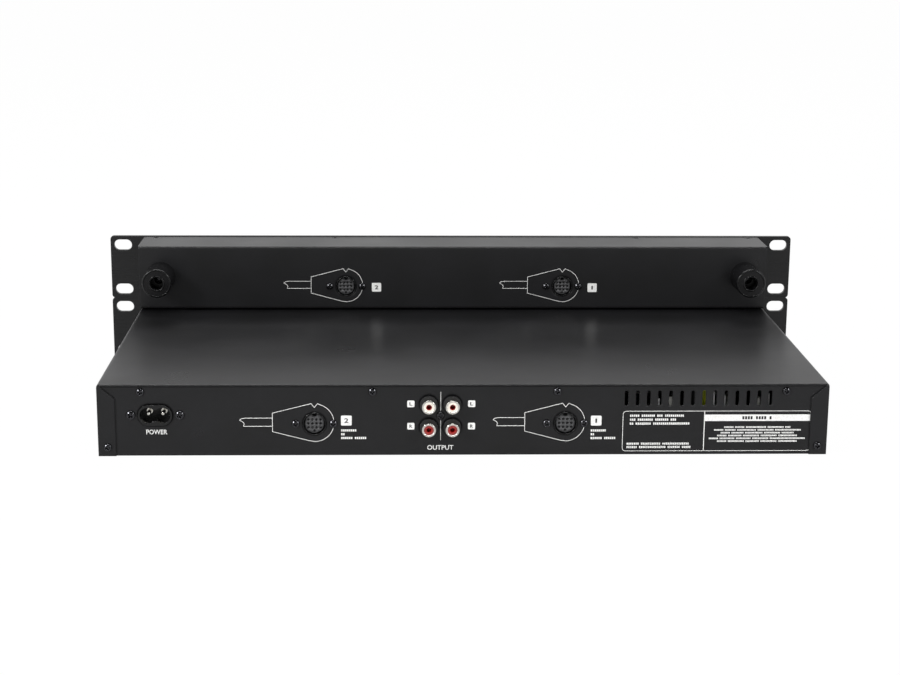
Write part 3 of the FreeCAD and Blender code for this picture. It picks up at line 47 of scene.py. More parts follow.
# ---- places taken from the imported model, in metres ----
REAR_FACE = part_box("player_chassis")[1].y
_, CONTROL_REAR, CONTROL_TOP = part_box("control_case")[1]
PANEL_FRONT, PANEL_BACK = (corner.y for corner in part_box("control_front_panel"))
DECKS = (1, 2)
BODY_OF = {"player": "player", "control": "control_unit"}


def middle(node):
    """The centre of a CAD node's box, in millimetres."""
    low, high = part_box(node)
    return (low + high) / 2 / MM


def front_of(node):
    """The foremost y of a CAD node, in metres."""
    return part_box(node)[0].y


# ---- camera: from behind, a little above and to the left of the middle, long lens ----
CAMERA_AT = (0.0448, 1.18191, 0.33055)
CAMERA_YAW, CAMERA_PITCH, CAMERA_ROLL = 0.03344, 0.23799, 0.00713
CAMERA_LENS = 74.549


# ---- small tools ----
def srgb(code):
    """A linear colour, with alpha, from an sRGB hex code."""
    parts = [int(code[i:i + 2], 16) / 255 for i in (1, 3, 5)]
    return (*[c / 12.92 if c <= 0.04045 else ((c + 0.055) / 1.055) ** 2.4 for c in parts], 1.0)


def add(tree, kind, sockets=None, **settings):
    """A new node with its settings; each socket gets a value or is linked from another node's output."""
    node = tree.nodes.new(kind)
    for name, value in settings.items():
        setattr(node, name, value)
    for name, value in (sockets or {}).items():
        if isinstance(value, bpy.types.NodeSocket):
            tree.links.new(value, node.inputs[name])
        else:
            node.inputs[name].default_value = value
    return node


def out(*node, **settings):
    """The first output of a new node."""
    return add(*node, **settings).outputs[0]


def per(size_mm):
    """Texture scale on coordinates in metres for a feature of that size."""
    return 1000 / size_mm


def spans(corners):
    """Low and high corner of a list of points."""
    return (Vector([min(c[k] for c in corners) for k in range(3)]),
            Vector([max(c[k] for c in corners) for k in range(3)]))


def in_scene(name, data):
    """A new object that is linked to the scene."""
    made = bpy.data.objects.new(name, data)
    bpy.context.scene.collection.objects.link(made)
    return made


def evaluated(thing):
    """The plain mesh that an object's modifiers make."""
    graph = bpy.context.evaluated_depsgraph_get()
    return bpy.data.meshes.new_from_object(thing.evaluated_get(graph), depsgraph=graph)


# ---- finishes ----
class Finish:
    """A material with one Principled shader, and ways to draw on it over the object's own coordinates."""

    def __init__(self, name, base, roughness, metallic=0.0, specular=0.5, **more):
        self.made = bpy.data.materials.new(name)
        self.made.use_nodes = True
        self.tree = self.made.node_tree
        self.tree.nodes.clear()
        self.shader = add(self.tree, "ShaderNodeBsdfPrincipled", {
            "Base Color": srgb(base), "Roughness": roughness, "Metallic": metallic,
            "Specular IOR Level": specular, **more})
        add(self.tree, "ShaderNodeOutputMaterial", {"Surface": self.shader.outputs[0]})
        self.where = add(self.tree, "ShaderNodeTexCoord").outputs["Object"]

    def link(self, source, socket):
        """Drives one of the shader's sockets."""
        self.tree.links.new(source, self.shader.inputs[socket])

    def grain(self, size_mm, stretch=(1, 1, 1), detail=3.0):
        """A cloudy 0 to 1 pattern of a real size; stretch below 1 draws it out along that axis."""
        place = out(self.tree, "ShaderNodeMapping", {"Vector": self.where, "Scale": stretch})
        cloud = out(self.tree, "ShaderNodeTexNoise", {
            "Vector": place, "Scale": per(size_mm), "Detail": detail})
        return out(self.tree, "ShaderNodeMapRange", {"Value": cloud, "From Min": 0.3, "From Max": 0.7})

    def mottle(self, tone, dark, light, low, high, gloss=None):
        """Colour goes from dark to light by a pattern, and roughness from low to high by it or by another."""
        colour = add(self.tree, "ShaderNodeMix", {0: tone, 6: srgb(dark), 7: srgb(light)}, data_type="RGBA")
        self.link(colour.outputs[2], "Base Color")
        rough = out(self.tree, "ShaderNodeMapRange", {"Value": gloss or tone, "To Min": low, "To Max": high})
        self.link(rough, "Roughness")

    def skin(self, size_mm, height_mm, strength, stretch=(1, 1, 1), edge_mm=0.0):
        """Raises the surface by a fine pattern. Light turns round the shape's edges with that radius, as on
        real bends and moulded corners."""
        relief = add(self.tree, "ShaderNodeBump", {
            "Height": self.grain(size_mm, stretch, 4.0), "Distance": height_mm * MM, "Strength": strength})
        self.link(relief.outputs[0], "Normal")
        if edge_mm:
            bend = out(self.tree, "ShaderNodeBevel", {"Radius": edge_mm * MM}, samples=6)
            self.tree.links.new(bend, relief.inputs["Normal"])


def moulded(name, dark, light, low, high, grain_mm=0.9, edge_mm=0.3, **more):
    """A moulded plastic or rubber with a spark-eroded grain, drawn coarse enough to show, and soft edges."""
    made = Finish(name, dark, low, **more)
    made.mottle(made.grain(grain_mm, detail=4.0), dark, light, low, high, made.grain(9))
    made.skin(grain_mm, 0.02, 0.3, edge_mm=edge_mm)
    return made


def plated(name, dark, light, low, high, scratch_mm=0.35, stretch=(1, 0.05, 1)):
    """A bright metal with hair scratches along its working direction."""
    made = Finish(name, light, low, 1.0)
    made.mottle(made.grain(scratch_mm, stretch, 4.0), dark, light, low, high)
    made.skin(scratch_mm, 0.004, 0.3, stretch)
    return made


def ink(name, dark, light):
    """Screen-printed ink: matt and opaque, with a slightly uneven film."""
    made = Finish(name, light, 0.55, specular=0.3)
    made.mottle(made.grain(0.8, detail=4.0), dark, light, 0.5, 0.65)
    return made


# epoxy powder coat on folded steel: deep black and satin, softer in patches where hands have wiped it, with
# an orange-peel skin drawn coarser than real, to show
POWDER = Finish("powder_coated_steel", "#171718", 0.36, specular=0.36)
POWDER.mottle(POWDER.grain(26), "#141415", "#18181a", 0.27, 0.34, POWDER.grain(60))
POWDER.skin(1.4, 0.01, 0.25, edge_mm=1.9)
# satin paint on brushed aluminium: black, with the brushing along the panel just showing through
BRUSHED = (0.02, 1, 1)
PANEL = Finish("painted_aluminium", "#171718", 0.36, specular=0.4)
PANEL.mottle(PANEL.grain(0.7, BRUSHED, 5.0), "#0e0e0f", "#161617", 0.26, 0.38)
PANEL.skin(0.7, 0.01, 0.3, BRUSHED)
# black zinc plating on steel screws: dark metal, glossy, with small worn specks
SCREW = Finish("black_zinc_plate", "#47474a", 0.1, 1.0)
SCREW.mottle(SCREW.grain(0.5, detail=4.0), "#3a3a3d", "#555558", 0.08, 0.14)
SCREW.skin(0.5, 0.003, 0.2, edge_mm=0.15)
# zinc-plated pressed steel: grey metal with a soft spangle a few millimetres across
ZINC = Finish("zinc_plated_steel", "#9a9b9c", 0.35, 1.0)
spangle = add(ZINC.tree, "ShaderNodeTexVoronoi", {"Vector": ZINC.where, "Scale": per(5)}).outputs["Color"]
ZINC.mottle(spangle, "#87888a", "#a9abac", 0.28, 0.45, ZINC.grain(2.0))
ZINC.skin(3.0, 0.006, 0.2)
# glass-fibre board under green solder resist: glossy, with tracks that show as lighter bands
BOARD = Finish("solder_resist_on_glass_fibre", "#0d3a1c", 0.3)
BOARD.link(out(BOARD.tree, "ShaderNodeTexBrick", {
    "Vector": BOARD.where, "Scale": per(9), "Mortar Size": 0.03, "Color1": srgb("#0b3519"),
    "Color2": srgb("#0f4421"), "Mortar": srgb("#2f7a42")}, offset=0.37, squash=0.6), "Base Color")
BOARD.skin(3.0, 0.01, 0.3)
# smoked acrylic, polished: clear enough to see the display behind it, with a faint ripple
WINDOW = Finish("smoked_acrylic", "#3a3d42", 0.04, **{"Transmission Weight": 0.92, "IOR": 1.49})
WINDOW.skin(14, 0.004, 0.12)
# metals: bright nickel, rolled rims whose near-white, mostly matt colour is painted sheen of the nickel,
# contacts, fins and cans, wheel faces; and the pale resin of capacitors, and the inks
NICKEL = plated("bright_nickel_plate", "#e2dfd8", "#f4f2ec", 0.07, 0.18)
SHEEN_RIM = moulded("satin_nickel_plate", "#f2f0ec", "#fcfbf8", 0.28, 0.4, 0.4, metallic=0.25)
TIN = plated("tin_plate", "#8a8a87", "#a3a39f", 0.3, 0.45)
ALUMINIUM = moulded("etched_aluminium", "#d8d9da", "#ececec", 0.4, 0.55, 0.7, metallic=0.2)
RESIN = moulded("cast_resin", "#c6c6c0", "#d8d8d2", 0.4, 0.5, 1.5)
ANODISED = plated("anodised_aluminium", "#4a4b4e", "#5c5d61", 0.26, 0.36, 0.3, (1, 1, 1))
WHITE_INK = ink("white_screen_ink", "#dcdcda", "#f4f4f2")
BLACK_INK = ink("black_screen_ink", "#141414", "#1e1e1e")
DIM_INK = ink("dim_display_segment", "#8d9692", "#a2aba7")
# sockets and jacks: glossy shells, the jack block with its faint bloom, matt inserts, jack rings and linings
NYLON = moulded("glossy_black_nylon", "#050506", "#0b0b0c", 0.16, 0.25)
BLOCK_NYLON = moulded("glass_filled_nylon", "#151516", "#1c1c1d", 0.34, 0.44)
GREY_NYLON = moulded("mineral_filled_nylon", "#424243", "#4d4d4f", 0.5, 0.62, 0.5)
WHITE_ABS = moulded("white_abs", "#e2dccf", "#eee8dc", 0.3, 0.42)
RED_ABS = moulded("red_abs", "#7f2f2a", "#923d36", 0.34, 0.46)
DARK_RED = moulded("dark_red_abs", "#94100d", "#ad1814", 0.3, 0.42)
# inside: gears and pucks, the winding's tape and core, cans, the pickup's lens, chip packages
ACETAL = moulded("natural_acetal", "#d9d6cb", "#e8e5da", 0.35, 0.45)
TAPE = moulded("polyester_winding_tape", "#b4bd12", "#cbd423", 0.3, 0.45, 2.5)
FERRITE = moulded("sintered_ferrite", "#1c1c1d", "#272728", 0.55, 0.7, 1.5)
SLEEVE = moulded("heat_shrunk_sleeve", "#14161f", "#1b1e2a", 0.2, 0.3, 4.0)
LENS = moulded("coated_glass_lens", "#141a3a", "#1c2450", 0.04, 0.08, 3.0)
EPOXY = moulded("moulding_epoxy", "#17171a", "#202023", 0.5, 0.6, 1.2)
# the decks' plastics, the keys, the soft paint of wheels and faders, and the feet
FRAME_ABS = moulded("black_frame_abs", "#121213", "#1b1b1c", 0.45, 0.6)
TRAY_ABS = moulded("grained_tray_abs", "#232426", "#2e2f32", 0.5, 0.62)
BEZEL_ABS = moulded("polished_bezel_abs", "#101011", "#151517", 0.16, 0.28, 2.5)
KEY_ABS = moulded("grained_key_abs", "#35363a", "#424347", 0.42, 0.55)
START_ABS = moulded("green_key_abs", "#2f5a3c", "#386a47", 0.35, 0.48)
CUE_ABS = moulded("amber_key_abs", "#8a5a17", "#9c691f", 0.35, 0.48)
SOFT_BLACK = moulded("soft_touch_paint", "#161617", "#1f1f20", 0.55, 0.7)
RUBBER = moulded("moulded_rubber", "#08080a", "#0e0e0f", 0.18, 0.26, edge_mm=0.4, specular=0.33)

# the CAD nodes in each finish; # is the deck's number
for finish, nodes in (
        (POWDER, "player_chassis player_cover control_case"),
        (PANEL, "player_front_panel control_front_panel"),
        (NYLON, "mains_inlet turntable_#"), (BLOCK_NYLON, "phono_block"),
        (WHITE_ABS, "phono_inserts_white"), (RED_ABS, "phono_inserts_red"),
        (NICKEL, "mains_pins phono_barrels guide_rods_#"),
        (ZINC, "clamp_bridges optical_base_# spindle_motor_#"),
        (RUBBER, "control_feet"), (WINDOW, "display_windows"), (FERRITE, "power_transformer"),
        (FRAME_ABS, "loader_frame_#"), (TRAY_ABS, "tray_#"), (BEZEL_ABS, "tray_front_#"),
        (ACETAL, "drive_gear_# clamp_puck_#"), (SOFT_BLACK, "jog_wheel_# pitch_fader_#"),
        (CUE_ABS, "cue_button_#"), (START_ABS, "play_button_#"),
        (KEY_ABS, "power_button open_button_# skip_back_button_# skip_next_button_# pitch_button_#")):
    for node in nodes.split():
        for deck in DECKS:
            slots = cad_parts[node.replace("#", str(deck))].data.materials
            slots.clear()
            slots.append(finish.made)


# ---- drawing in millimetres on a face of the object ----
INK_T = 0.05
SHARP = math.radians(32)


def on_rear(y):
    """Local x is to the right as seen from behind, y is up, z stands out of the face at that y in metres."""
    return Matrix(((-1, 0, 0, 0), (0, 0, 1, y), (0, 1, 0, 0), (0, 0, 0, 1)))


def on_front(y, x=0.0, z=0.0):
    """The same as seen from the front, about a point of the row, in metres."""
    return Matrix(((1, 0, 0, x), (0, 0, -1, y), (0, 1, 0, z), (0, 0, 0, 1)))


def smooth(mesh):
    """Smooth shading, with sharp edges where the surface turns."""
    mesh.shade_smooth()
    mesh.set_sharp_from_angle(angle=SHARP)
    return mesh


def drawn(name, place, draw):
    """A mesh drawn in millimetres, its seams closed and its faces outward, brought to its place."""
    canvas = bmesh.new()
    draw(canvas)
    bmesh.ops.remove_doubles(canvas, verts=canvas.verts, dist=0.0004)
    bmesh.ops.recalc_face_normals(canvas, faces=canvas.faces)
    mesh = bpy.data.meshes.new(name)
    canvas.to_mesh(mesh)
    canvas.free()
    mesh.transform(place @ Matrix.Scale(MM, 4))
    return smooth(mesh)


def piece(mesh, body, slot, *finishes, stands_for=()):
    """Puts a finished mesh on a body; it may stand for a CAD node of the same shape."""
    made = in_scene(mesh.name, mesh)
    mesh.materials.clear()
    for finish in finishes:
        mesh.materials.append(finish.made)
    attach(made, body)
    if stands_for:
        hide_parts(*stands_for)
    return made


def loft(canvas, rows, closed=False):
    """Skins rows of corners. Closed joins the last row to the first; otherwise both ends are capped."""
    rings = [[canvas.verts.new(corner) for corner in row] for row in rows]
    following = rings[1:] + rings[:1] if closed else rings[1:]
    for a, b in zip(rings, following):
        for i in range(len(a)):
            j = (i + 1) % len(a)
            canvas.faces.new((a[i], a[j], b[j], b[i]))
    if not closed:
        canvas.faces.new(rings[0])
        canvas.faces.new(rings[-1])


def ribbon(canvas, points, width, closed=False):
    """A thin line of even width with mitred corners."""
    rows = []
    count = len(points)
    for i, point in enumerate(points):
        here = Vector(point)
        ways = []
        if closed or i > 0:
            ways.append((here - Vector(points[i - 1])).normalized())
        if closed or i < count - 1:
            ways.append((Vector(points[(i + 1) % count]) - here).normalized())
        along = sum(ways, Vector((0, 0))).normalized()
        side = Vector((-along.y, along.x))
        reach = width / 2 / max(side.dot(Vector((-ways[0].y, ways[0].x))), 0.4)
        rows.append([(*(here + side * s * reach), z) for s, z in ((1, 0), (1, INK_T), (-1, INK_T), (-1, 0))])
    loft(canvas, rows, closed)


def plate(canvas, outline, low=0.0, high=INK_T):
    """A flat plate of any outline."""
    loft(canvas, [[(x, y, z) for x, y in outline] for z in (low, high)])


def arc(x, y, radius, start, end, steps=8):
    """Points on a circle, from one angle to another in degrees."""
    turns = [math.radians(start + (end - start) * i / steps) for i in range(steps + 1)]
    return [(x + radius * math.cos(a), y + radius * math.sin(a)) for a in turns]


def rounded(x, y, width, height, radius):
    """The outline of a rounded rectangle about its centre."""
    dx, dy = width / 2 - radius, height / 2 - radius
    corners = ((dx, dy, 0), (-dx, dy, 90), (-dx, -dy, 180), (dx, -dy, 270))
    return [p for cx, cy, a in corners for p in arc(x + cx, y + cy, radius, a, a + 90, 4)]


def bar(canvas, x0, x1, y0, y1, low=0.0, high=INK_T):
    """A rectangular bar between two corners."""
    plate(canvas, [(x0, y0), (x1, y0), (x1, y1), (x0, y1)], low, high)


def block(canvas, x, y, width, height):
    """A rectangular bar about its centre."""
    bar(canvas, x - width / 2, x + width / 2, y - height / 2, y + height / 2)


def dashes(canvas, x0, length, y, height, gaps=(), base=0.0):
    """A row of small plain bars in place of a line of print, with a gap where a word would end."""
    wide, pitch = height * 0.62, height * 0.86
    for i in range(max(1, round(length / pitch))):
        if i not in gaps:
            x = x0 + i * pitch
            bar(canvas, x, x + wide, y - height / 2, y + height / 2, base, base + INK_T)


def print_rows(canvas, x, y, pitch, height, rows):
    """Rows of dashes under each other, each with its length and gaps."""
    for row, (length, gaps) in enumerate(rows):
        dashes(canvas, x, length, y - pitch * row, height, gaps)


def writing(canvas, words, height, x, y, width=None, base=0.0, weight=0.004):
    """Words or digits of that height, centred on a point and drawn out to a width."""
    curve = bpy.data.curves.new("words", "FONT")
    curve.body, curve.extrude, curve.resolution_u, curve.offset = words, 0.5, 3, weight
    text = in_scene("words", curve)
    bpy.context.view_layer.update()
    flat = bpy.data.meshes.new_from_object(text)
    bpy.data.objects.remove(text)
    low, high = spans([v.co for v in flat.vertices])
    span = high - low
    tall = height / span.y
    wide = width / span.x if width else tall
    flat.transform(Matrix.Translation((x, y, base)) @ Matrix.Diagonal((wide, tall, INK_T / span.z, 1))
                   @ Matrix.Translation((-(low.x + high.x) / 2, -(low.y + high.y) / 2, -low.z)))
    canvas.from_mesh(flat)


def lathe(canvas, profile, steps=32, x=0.0, y=0.0):
    """Turns a profile of (radius, height) about an upright axis; a radius of 0 closes to a point."""
    rings = []
    for radius, height in profile:
        if radius == 0:
            rings.append([canvas.verts.new((x, y, height))] * steps)
        else:
            rings.append([canvas.verts.new((px, py, height)) for px, py in
                          arc(x, y, radius, 0, 360 - 360 / steps, steps - 1)])
    for a, b in zip(rings, rings[1:]):
        for i in range(steps):
            j = (i + 1) % steps
            corners = list(dict.fromkeys((a[i], a[j], b[j], b[i])))
            if len(corners) > 2:
                canvas.faces.new(corners)


# ---- shapes carried over from the CAD with more than one finish ----
def shape_of(node):
    """A CAD node's mesh with its seams closed."""
    shape = bmesh.new()
    shape.from_mesh(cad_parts[node].data)
    bmesh.ops.remove_doubles(shape, verts=shape.verts, dist=1e-6)
    return shape


def refinished(node, body, slot, finishes, pick):
    """Stands for a CAD node with its own shape, its finish picked face by face from each face's centre."""
    shape = shape_of(node)
    picked = [pick(face.calc_center_median() / MM, face.normal) for face in shape.faces]
    mesh = bpy.data.meshes.new(f"{node}_finished")
    shape.to_mesh(mesh)
    shape.free()
    made = piece(smooth(mesh), body, slot, *finishes, stands_for=(node,))
    made.data.polygons.foreach_set("material_index", picked)


def solids(node):
    """The corners of each separate solid of a CAD node, in millimetres."""
    shape = shape_of(node)
    left = set(shape.verts)
    found = []
    for first in shape.verts:
        if first not in left:
            continue
        left.discard(first)
        island, edge_of_island = [], [first]
        while edge_of_island:
            corner = edge_of_island.pop()
            island.append(corner.co / MM)
            near = [edge.other_vert(corner) for edge in corner.link_edges]
            new = [other for other in near if other in left]
            left.difference_update(new)
            edge_of_island += set(new)
        found.append(island)
    shape.free()
    return found


def solid_boxes(node):
    """The low and high corner of each solid of a CAD node."""
    return [spans(corners) for corners in solids(node)]


def solid_centres(node):
    """The centre of each solid of a CAD node."""
    return [(low + high) / 2 for low, high in solid_boxes(node)]


# ---- Geometry Nodes: one shape stamped on many seats ----
def new_tree(name, inputs):
    """A tree with a Seats input, those inputs and a Finish; gives the tree and its inputs' values."""
    tree = bpy.data.node_groups.new(name, "GeometryNodeTree")
    for label, kind in (("Seats", "Geometry"), *inputs, ("Finish", "Material")):
        tree.interface.new_socket(label, in_out="INPUT", socket_type=f"NodeSocket{kind}")
    tree.interface.new_socket("Result", in_out="OUTPUT", socket_type="NodeSocketGeometry")
    return tree, add(tree, "NodeGroupInput").outputs


def deliver(tree, copies, finish):
    """The tree's result: its copies as plain mesh, in the finish."""
    real = out(tree, "GeometryNodeRealizeInstances", {0: copies})
    done = out(tree, "GeometryNodeSetMaterial", {"Geometry": real, "Material": finish})
    add(tree, "NodeGroupOutput", {"Result": done})
    return tree


def stamp_tree():
    """A copy of a shape on every point, scaled, turned and aimed along the point's own way."""
    tree, start = new_tree("stamp", (("Shape", "Object"),))
    shape = add(tree, "GeometryNodeObjectInfo", {"Object": start["Shape"]}).outputs["Geometry"]
    way, turn, scale = (
        out(tree, "GeometryNodeInputNamedAttribute", {"Name": name}, data_type=kind)
        for name, kind in (("way", "FLOAT_VECTOR"), ("turn", "FLOAT"), ("scale", "FLOAT")))
    aimed = out(tree, "FunctionNodeAlignRotationToVector", {"Vector": way}, axis="Z")
    spun = out(tree, "FunctionNodeAxisAngleToRotation", {"Axis": (0, 0, 1), "Angle": turn})
    both = out(tree, "FunctionNodeRotateRotation", {
        "Rotation": aimed, "Rotate By": spun}, rotation_space="LOCAL")
    copies = out(tree, "GeometryNodeInstanceOnPoints", {
        "Points": start["Seats"], "Instance": shape, "Rotation": both, "Scale": scale})
    return deliver(tree, copies, start["Finish"])


def marks_tree():
    """A ring of short bars standing out from a centre, as on a dial."""
    tree, start = new_tree("dial_marks", (("Count", "Int"), ("Radius", "Float"), ("Size", "Vector")))
    ring = out(tree, "GeometryNodeMeshCircle", {"Vertices": start["Count"], "Radius": start["Radius"]})
    mark = out(tree, "GeometryNodeMeshCube", {"Size": start["Size"]})
    outward = out(tree, "GeometryNodeInputPosition")
    aimed = out(tree, "FunctionNodeAlignRotationToVector", {"Vector": outward}, axis="X")
    copies = out(tree, "GeometryNodeInstanceOnPoints", {"Points": ring, "Instance": mark, "Rotation": aimed})
    return deliver(tree, copies, start["Finish"])


def grown(name, seats, tree, inputs):
    """The plain mesh that a tree makes on a carrier mesh, with its named inputs set before it runs."""
    carrier = in_scene(name, seats)
    modifier = carrier.modifiers.new(tree.name, "NODES")
    modifier.node_group = tree
    for item in tree.interface.items_tree:
        if item.in_out == "INPUT" and item.name in inputs:
            modifier[item.identifier] = inputs[item.name]
    mesh = evaluated(carrier)
    bpy.data.objects.remove(carrier)
    mesh.name = name
    return mesh


def pattern(name, draw):
    """A shape to stamp, drawn in millimetres about its own seat, with z 0 at the seat."""
    made = in_scene(name, drawn(name, Matrix(), draw))
    PATTERNS.append(made)
    return made


def turned(name, profile, steps=24):
    """A shape to stamp that is turned from a profile."""
    return pattern(name, lambda canvas: lathe(canvas, profile, steps))


def rearward(places, y):
    """Seats that face the rear behind those places, at y in millimetres."""
    return [((p.x, y, p.z), (0, 1, 0), 0.0, 1.0) for p in places]


def stamped(name, shape, seats, body, slot, finish, stands_for=()):
    """A piece with a shape on each seat: place in millimetres, outward way, turn and scale."""
    points = bpy.data.meshes.new(f"{name}_seats")
    points.from_pydata([Vector(seat[0]) * MM for seat in seats], [], [])
    for key, kind, field, values in (
            ("way", "FLOAT_VECTOR", "vector", [part for seat in seats for part in seat[1]]),
            ("turn", "FLOAT", "value", [seat[2] for seat in seats]),
            ("scale", "FLOAT", "value", [seat[3] for seat in seats])):
        points.attributes.new(key, kind, "POINT").data.foreach_set(field, values)
    mesh = grown(name, points, STAMP, {"Shape": shape, "Finish": finish.made})
    piece(smooth(mesh), body, slot, finish, stands_for=stands_for)


STAMP = stamp_tree()
MARKS = marks_tree()
PATTERNS = []


# ---- screws ----
draw_lots = random.Random(11)
HEAD_R = 2.5
FOOT_SCREW_SCALE = 1.2      # the feet's screws are larger than this, the sockets' smaller
PAN_HEAD = ((0, 0), (0.9, -0.03), (1.38, -0.08), (1.5, -0.13), (1.56, -0.16), (2.12, -0.5), (2.17, -0.54),
            (2.36, -0.85), (HEAD_R, -1.3), (HEAD_R, -1.7), (1.3, -1.7), (1.3, -7.6), (0, -7.7))
FLAT_HEAD = ((0, 0), (2.1, 0), (2.3, -0.12), (1.3, -1.15), (1.3, -6.0), (0, -6.1))


def cross(half, reach):
    """The outline of a cross with arms of that half width and reach."""
    corners = [(reach, -half), (reach, half), (half, half)]
    for _ in range(9):
        x, y = corners[-3]
        corners.append((-y, x))
    return corners


def cut_out(shape, draw):
    """Takes a second shape, drawn about the same seat, out of a shape."""
    tool = pattern("cutter", draw)
    cut = shape.modifiers.new("cut", "BOOLEAN")
    cut.operation, cut.object, cut.solver = "DIFFERENCE", tool, "EXACT"
    whole = evaluated(shape)
    shape.modifiers.clear()
    shape.data = whole
    return shape


def driver_recess(canvas):
    """The tapered cross recess of a screw."""
    loft(canvas, [[(*p, z) for p in cross(half, reach)] for z, half, reach in (
        (-1.3, 0.25, 0.6), (0.4, 0.48, 1.7))])


def screw_seats(node):
    """The seats of a node's screws: those with raised heads, and those flush in the control unit's top."""
    raised, flush = [], []
    for corners in solids(node):
        low, high = spans(corners)
        size, centre = high - low, (low + high) / 2
        k = min(range(3), key=lambda i: abs(size[(i + 1) % 3] - size[(i + 2) % 3]))
        across = [(k + 1) % 3, (k + 2) % 3]
        radius = size[across[0]] / 2
        rim = [c[k] for c in corners if math.hypot(*(c[i] - centre[i] for i in across)) > 0.9 * radius]
        way, place = Vector(), centre.copy()
        way[k], place[k] = (1, high[k]) if sum(rim) / len(rim) > centre[k] else (-1, low[k])
        kind = flush if k == 2 and place.z > CONTROL_TOP / MM - 0.5 else raised
        kind.append((place, way, draw_lots.uniform(0, math.pi), radius / HEAD_R))
    return raised, flush


pan_screw = cut_out(turned("pan_screw", PAN_HEAD), driver_recess)
flat_screw = cut_out(turned("flat_screw", FLAT_HEAD), driver_recess)
player_seats, _ = screw_seats("player_screws")
control_seats, flush_seats = screw_seats("control_screws")
flush_seats = [(*seat[:3], 1.0) for seat in flush_seats]
foot_seats = [seat for seat in control_seats if seat[3] > FOOT_SCREW_SCALE]
socket_seats = [seat for seat in control_seats if seat[3] < FOOT_SCREW_SCALE]
for name, unit, shape, seats in (
        ("player_screw_set", "player", pan_screw, player_seats),
        ("control_screw_set", "control", pan_screw, socket_seats),
        ("foot_screw_set", "control", pan_screw, foot_seats),
        ("control_flush_screws", "control", flat_screw, flush_seats)):
    stamped(name, shape, seats, BODY_OF[unit], "black_zinc", SCREW, (f"{unit}_screws",))


# ---- round link sockets: grey insert in a black shell, with a tin contact down each hole ----
LINK_INSERT_R, INSERT_BACK, LIP_OUT = 5.8, 0.6, 0.5
CONTACT_PITCH, CONTACT_SUNK = 2.45, 4.0
CONTACT_HOLES = [((i - 1.5) * CONTACT_PITCH, (1 - j) * CONTACT_PITCH) for j in range(3) for i in range(4)]
CONTACT_HOLES.append((0, 0.5 - 2 * CONTACT_PITCH))
# the sleeve that lines a contact hole, a black ring at its mouth that paints shade round the hole, and the
# lip of a socket's shell
sleeve = turned("contact_sleeve", ((0.5, 0), (0.5, -5), (0.3, -5), (0.3, 0), (0.5, 0)), 12)
painted_shade_ring = turned("hole_mouth", (
    (0.55, -0.2), (0.55, 0.01), (0.72, 0.03), (0.8, 0.02), (0.82, -0.2), (0.55, -0.2)), 14)
lip = turned("socket_lip", (
    (6.42, -0.1), (6.45, 0.12), (6.58, 0.22), (6.74, 0.22), (6.87, 0.1), (6.92, -0.1), (6.42, -0.1)), 48)
LINKS = {}
for unit, face in (("player", REAR_FACE), ("control", CONTROL_REAR)):
    node, body = f"{unit}_link_sockets", BODY_OF[unit]
    links = list({round(centre.x): centre for centre in solid_centres(node)}.values())
    LINKS[unit] = links
    refinished(node, body, "socket_plastic", (NYLON, GREY_NYLON), lambda c, _: int(
        min(math.hypot(c.x - m.x, c.z - m.z) for m in links) < LINK_INSERT_R))
    holes = [link + Vector((dx, 0, dz)) for link in links for dx, dz in CONTACT_HOLES]
    insert = face / MM - INSERT_BACK
    for label, shape, seats, slot, finish in (
            ("contacts", sleeve, rearward(holes, insert - CONTACT_SUNK), "nickel_plate", TIN),
            # black rings at the holes' mouths are painted shade: the grey insert drawn dark round each hole
            ("mouths", painted_shade_ring, rearward(holes, insert), "socket_plastic", NYLON),
            ("lips", lip, rearward(links, face / MM + LIP_OUT), "socket_plastic", NYLON)):
        stamped(f"{unit}_link_{label}", shape, seats, body, slot, finish)


# ---- mains inlet: a collar with a flat end round each pin, well inside ----
COLLAR_DEPTH = 10.2
collar = turned("pin_collar", (
    (1.22, -0.8), (1.22, 0.3), (1.32, 0.4), (1.8, 0.4), (1.95, 0.28), (1.98, -0.8), (1.22, -0.8)))
pins = rearward(solid_centres("mains_pins"), REAR_FACE / MM - COLLAR_DEPTH)
stamped("pin_collars", collar, pins, "player", "nickel_plate", NICKEL)


# ---- feet: a rounded lip round each bore ----
bore_lip = turned("bore_lip", (
    (4.42, -1.0), (4.45, -0.45), (4.6, -0.1), (4.85, 0.12), (5.1, 0.14), (5.32, 0.0), (5.38, -0.3),
    (4.9, -1.0), (4.42, -1.0)), 40)
bores = rearward([place for place, *_ in foot_seats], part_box("control_feet")[1].y / MM)
stamped("foot_lips", bore_lip, bores, "control_unit", "foot_rubber", RUBBER)


# ---- phono jacks: a rolled rim on each barrel, and a dark red lining with a flange in each hole ----
JACK_HOLE_R = 1.6
JACK_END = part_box("phono_inserts_white")[1].y / MM
rim = turned("rolled_rim", (
    (3.0, -0.1), (3.03, 0.2), (3.25, 0.36), (3.8, 0.36), (4.1, 0.16), (4.15, -0.1), (3.0, -0.1)), 40)
for colour, flange in (("white", 1.7), ("red", 2.0)):
    lining = turned(f"{colour}_lining", (
        (0, -5.2), (1.1, -5.0), (1.4, -4.6), (1.4, -0.3), (1.5, 0.04), (flange, 0.04), (flange + 0.05, -0.05),
        (JACK_HOLE_R, -0.1), (JACK_HOLE_R, -5.6), (0, -5.6)))
    jacks = rearward(solid_centres(f"phono_inserts_{colour}"), JACK_END)
    stamped(f"jack_linings_{colour}", lining, jacks, "player", "insert_red", DARK_RED)
    # the rims' near-white colour is a painted sheen of the rolled nickel, pale from all sides
    stamped(f"jack_rims_{colour}", rim, jacks, "player", "nickel_plate", SHEEN_RIM)


